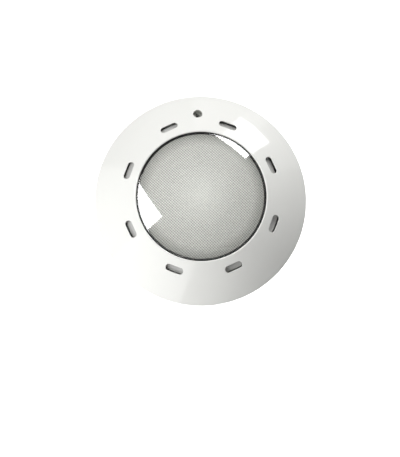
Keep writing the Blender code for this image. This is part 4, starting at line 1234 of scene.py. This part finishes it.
def heat_sink():
    body = SINK_RADIUS - 3.2 * MM
    plate_back = 2.0 * MM
    outline = [
        (0, SINK_FRONT), (SINK_RADIUS, SINK_FRONT, 0.3 * MM),
        (SINK_RADIUS, plate_back, 0.3 * MM), (body, plate_back, 0.5 * MM),
        (body, SINK_BACK, 0.5 * MM), (0, SINK_BACK),
    ]
    steps = []
    count, pitch, wide = 7, 11.5 * MM, 8.5 * MM
    for i in range(count):
        x = (i - (count - 1) / 2) * pitch
        low = (x - wide / 2, -60 * MM, SINK_BACK - 5 * MM)
        steps.append(cut(block(low, (x + wide / 2, 60 * MM, 0.8 * MM), bevel=0.7 * MM)))
    steps += drills(BOARD_PLACES, 1.35 * MM, -2.0 * MM, CREST)
    slot_low = (-6.0 * MM, LEAD_Z - 3.0 * MM, SINK_BACK - 5 * MM)
    steps.append(cut(block(slot_low, (6.0 * MM, LEAD_Z + 3.0 * MM, CREST), bevel=MM)))
    bm = combined(solid(outline, 128), *steps)
    show("heat_sink", bm, CAST)


def led_board():
    outline = [(0, BOARD_FRONT), (SINK_RADIUS, BOARD_FRONT, 0.1 * MM)]
    outline += [(SINK_RADIUS, SINK_FRONT + GAP, 0.1 * MM), (0, SINK_FRONT + GAP)]
    leads = [(-LEAD_X, LEAD_Z), (LEAD_X, LEAD_Z)]
    steps = drills(BOARD_PLACES, 1.7 * MM, 0, CREST) + drills(leads, 1.2 * MM, 0, CREST)
    bm = combined(solid(outline, 128), *steps)
    show("led_board", bm, WHITE_BOARD)


def emitters():
    """One-watt LEDs: a square ceramic foot with two solder tabs under a silicone dome."""
    half, thick = 2.2 * MM, 0.9 * MM
    parts = [block((-half, -half, 0), (half, half, thick), bevel=0.15 * MM)]
    for side in (-1, 1):
        middle = side * 2.65 * MM
        low, high = (middle - 0.5 * MM, -1.3 * MM, 0), (middle + 0.5 * MM, 1.3 * MM, 0.35 * MM)
        parts.append(block(low, high, 0.1 * MM))
    radius, spring = 1.8 * MM, 0.8 * MM
    outline = [(0, spring + radius)] + arc((0, spring), radius, 84, 0, 14)
    outline += [(radius, spring - 0.1 * MM), (0, spring - 0.1 * MM)]
    base = mesh_from("led_base_mesh", merged(*parts), CERAMIC)
    bead = mesh_from("led_dome_mesh", solid(outline, 32), PHOSPHOR)
    for i in range(1, 9):
        node = f"led_{i}"
        x, y = centre_of(node)
        matrix = AXIS @ shift(x, y, back_of(node)) @ spin(math.atan2(y, x))
        show(node, base, matrix=matrix)
        show(f"{node}_dome", bead, matrix=matrix, node=node)


def reflector():
    foot, mouth, thick = 41.0 * MM, OPENING - 3.6 * MM, 1.2 * MM
    base, top = BOARD_FRONT + GAP, front_of("reflector")
    curve = bowed((foot, base + 1.4 * MM), (mouth - thick, top), -1.2 * MM, 16)
    outline = [(mouth - thick, top, 0.2 * MM), (mouth, top, 0.3 * MM), (mouth, top - 3.0 * MM, 0.6 * MM)]
    outline += [(foot + 3.5 * MM, base + 1.4 * MM, 0.6 * MM), (foot + 3.5 * MM, base, 0.2 * MM)]
    outline += [(foot, base, 0.2 * MM)] + curve[:-1]
    show("reflector", turned(outline, 160), BOWL_WHITE)


# The capacitor, inductor and rectifier stand on the driver board's front and reach towards the
# light's front. The terminal block is on the board's back. A turned piece is drawn from its foot
# up along +Z, then laid on the frame's Y axis.
def standing_on(node):
    """The place of a turned piece that stands on the board's front, with its foot at the board."""
    low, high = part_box(node)
    foot = ((low.x + high.x) / 2, high.y, (low.z + high.z) / 2)
    return Matrix.Translation(foot) @ spin(math.radians(90), "X")


def reach_of(node):
    """A node's radius about its own middle, and its height along the frame's Y axis."""
    low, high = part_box(node)
    return (high.x - low.x) / 2, high.y - low.y


def driver_board():
    reach, thick = reach_of("driver_board")
    holes = [centre_of(f"driver_spacer_{i}") for i in (1, 2, 3)]
    outline = [(0, 0), (reach, 0, 0.1 * MM), (reach, -thick, 0.1 * MM), (0, -thick)]
    bm = combined(solid(outline, 96), *drills(holes, 1.3 * MM, -9 * MM, 9 * MM))
    front = Matrix.Translation((0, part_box("driver_board")[0].y, 0)) @ spin(math.radians(90), "X")
    show("driver_board", bm, GREEN_BOARD, front)


def driver_spacers():
    length = reach_of("driver_spacer_1")[1]
    post = moved(hexagon(2.6 * MM, 0, length, 0.25 * MM), spin(math.radians(30)))
    bm = combined(post, cut(drill(1.25 * MM, -1.0 * MM, 6.0 * MM)))
    mesh = mesh_from("spacer_mesh", bm, BRASS)
    for i in (1, 2, 3):
        node = f"driver_spacer_{i}"
        x, z = centre_of(node)
        foot = Matrix.Translation((x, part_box(node)[0].y, z)) @ spin(math.radians(-90), "X")
        show(node, mesh, matrix=foot)


def capacitor():
    """An electrolytic can with a rolled groove near its foot and a shallow ring on its top."""
    reach, tall = reach_of("capacitor")
    outline = [
        (0, tall), (0.8 * reach, tall), (0.84 * reach, tall - 0.15 * MM),
        (0.92 * reach, tall), (reach, tall, 0.5 * MM), (reach, 1.8 * MM),
        (0.93 * reach, 1.4 * MM), (reach, 1.0 * MM), (reach, 0, 0.3 * MM), (0, 0),
    ]
    can = solid(outline, 64)
    show("capacitor", can, PAINTED_CAN, standing_on("capacitor"))


def inductor():
    """A ring core with copper wire wound round it."""
    reach, tall = reach_of("inductor")
    turns, wire, bore = 26, 0.4 * MM, 3.02 * MM
    layer, corner = wire + 0.02 * MM, 0.9 * MM
    inner, outer, bottom, top = bore, reach - layer, layer, tall - layer
    square = [(inner, bottom), (outer, bottom), (outer, top), (inner, top)]
    loop = rounded([(*point, corner) for point in square], 3)
    points = [Vector((x, 0, z)) for x, z in loop]
    points.append(Vector((loop[0][0], 0.3 * MM, loop[0][1])))
    windings = [moved(swept(points, wire, 8), spin(math.tau * i / turns)) for i in range(turns)]
    inset = 0.9 * MM
    section = [(bore + 0.28 * MM, inset), (reach - inset, inset)]
    section += [(reach - inset, tall - inset), (bore + 0.28 * MM, tall - inset)]
    core = turned([(*point, 0.4 * MM) for point in section], 48)
    place = standing_on("inductor")
    show("inductor", merged(*windings), COPPER, place)
    show("inductor_core", core, BLACK_NYLON, place, node="inductor")


def rectifier():
    low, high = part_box("rectifier")
    chip = block(low, (high.x, high.y - 1.2 * MM, high.z), bevel=0.5 * MM)
    show("rectifier", chip, BLACK_NYLON, Matrix())
    legs = []
    middle = (low.z + high.z) / 2
    for i in range(4):
        x = low.x + (high.x - low.x) * (i + 0.5) / 4
        leg_low = (x - 0.4 * MM, high.y - 1.4 * MM, middle - 0.3 * MM)
        legs.append(block(leg_low, (x + 0.4 * MM, high.y, middle + 0.3 * MM), 0.08 * MM))
    show("rectifier_legs", merged(*legs), STEEL, Matrix(), node="rectifier")


def terminal_block():
    """Two ways, each with a wire opening at the side and a screw opening on top."""
    low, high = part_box("terminal_block")
    steps = []
    for share in (0.27, 0.73):
        z = low.z + (high.z - low.z) * share
        mouth_low = (high.x - 4.0 * MM, low.y + 1.6 * MM, z - 1.9 * MM)
        mouth = block(mouth_low, (high.x + MM, low.y + 5.4 * MM, z + 1.9 * MM), 0.2 * MM)
        access = drill(1.9 * MM, -4.0 * MM, 2.0 * MM)
        place = shift((low.x + high.x) / 2, high.y - 2.0 * MM, z)
        moved(access, spin(math.radians(-90), "X"), place)
        steps += [cut(mouth), cut(access)]
    bm = combined(block(low, high, bevel=0.35 * MM), *steps)
    show("terminal_block", bm, GREEN_PLASTIC, Matrix())


# ---------------------------------------------------------------- stage
def stage_look(name, colour):
    look = Look(name, Roughness=0.9, Specular_IOR_Level=0.1)
    look.set("Base Color", look.mix(look.noise(3, 2), colour, tuple(c * 0.98 for c in colour)))
    return look.material


FLOOR_Z, BACKDROP_Y = -1.9, 1.6


def backdrop():
    """A pale floor that sweeps up into a pale wall behind the light."""
    bend, wide, near, top = 0.8, 6.0, -5.0, 5.0
    section = [(near, FLOOR_Z), (BACKDROP_Y - bend, FLOOR_Z)]
    section += arc((BACKDROP_Y - bend, FLOOR_Z + bend), bend, -90, 0, 24) + [(BACKDROP_Y, top)]
    bm = bmesh.new()
    rows = [[bm.verts.new((x, y, z)) for y, z in section] for x in (-wide, wide)]
    for i in range(len(section) - 1):
        bm.faces.new((rows[0][i], rows[1][i], rows[1][i + 1], rows[0][i + 1]))
    mesh = mesh_from("backdrop", bm, stage_look("paper", (0.9, 0.9, 0.9)))
    made = bpy.data.objects.new("backdrop", mesh)
    bpy.context.scene.collection.objects.link(made)


def softbox(name, way, distance, size, watts, across=(1, 0, 0), aim=(0, WALL, 0)):
    """A rectangular lamp that way from aim, facing it. across is the way its width runs."""
    data = bpy.data.lights.new(name, "AREA")
    data.shape = "RECTANGLE"
    data.size, data.size_y = size
    data.energy = watts
    away = Vector(way).normalized()
    side = Vector(across)
    side = (side - away * side.dot(away)).normalized()
    made = bpy.data.objects.new(name, data)
    turn = Matrix((side, away.cross(side), away)).transposed().to_4x4()
    made.matrix_world = Matrix.Translation(Vector(aim) + away * distance) @ turn
    made.visible_camera = False
    bpy.context.scene.collection.objects.link(made)


UPRIGHT = (0, 0, 1)
AMBIENT = 0.055


def lights():
    """Two softboxes that the ring and the window mirror, fills round them, and the backdrop's own."""
    left, right = (-0.655, -0.762, 0.073), (0.486, -0.452, 0.764)
    softbox("left_box", left, 1.5, (0.96, 0.69), 12, across=(-0.489, 0.321, 0.813))
    softbox("right_box", right, 1.5, (0.66, 1.38), 18, across=(0.737, -0.126, -0.664))
    softbox("right_fill", (1.0, -0.25, 1.0), 1.6, (1.2, 1.2), 2.5, UPRIGHT)
    softbox("top_fill", (0.35, -0.2, 1.0), 1.6, (1.2, 1.2), 2.2)
    softbox("far_left_box", (-1.0, -0.15, 0.05), 1.6, (1.6, 1.3), 7, UPRIGHT)
    softbox("low_left_box", (-0.6, -0.35, -0.75), 0.72, (0.7, 0.7), 2.7, (0.7, 0, -0.7))
    softbox("backdrop_box", (0, -1, -0.05), 1.3, (0.5, 0.4), 26, aim=(0, BACKDROP_Y, 0.25))
    world = bpy.data.worlds.new("studio")
    world.use_nodes = True
    sky = world.node_tree.nodes["Background"].inputs
    sky["Color"].default_value = (1, 1, 1, 1)
    sky["Strength"].default_value = AMBIENT
    bpy.context.scene.world = world


CAMERA_WAY = (-0.0252, -0.9907, -0.1340)
CAMERA_DISTANCE = 1.4
CAMERA_LENS = 129.2
CAMERA_ROLL = math.radians(-2.32)
CAMERA_SHIFT = (-0.0015, -0.0606)


def camera():
    """A long lens, slightly below the light's axis, with a small roll."""
    data = bpy.data.cameras.new("camera")
    data.sensor_width = 36
    data.lens = CAMERA_LENS
    data.shift_x, data.shift_y = CAMERA_SHIFT
    middle = Vector((0, WALL - 2.5 * MM, 0))
    at = middle + Vector(CAMERA_WAY).normalized() * CAMERA_DISTANCE
    turn = (middle - at).to_track_quat("-Z", "Y").to_matrix().to_4x4()
    made = bpy.data.objects.new("camera", data)
    made.matrix_world = Matrix.Translation(at) @ turn @ spin(CAMERA_ROLL)
    bpy.context.scene.collection.objects.link(made)
    bpy.context.scene.camera = made


face_ring()
lens()
lens_stipple()
lens_boot()
lens_oring()
clamp_ring()
screws()
pilot_washer()
pilot_insert()
housing()
glands()
cables()
wires()
niche_shell()
heat_sink()
led_board()
emitters()
reflector()
driver_board()
driver_spacers()
capacitor()
inductor()
rectifier()
terminal_block()
backdrop()
lights()
camera()
bpy.context.scene.view_settings.view_transform = "Standard"
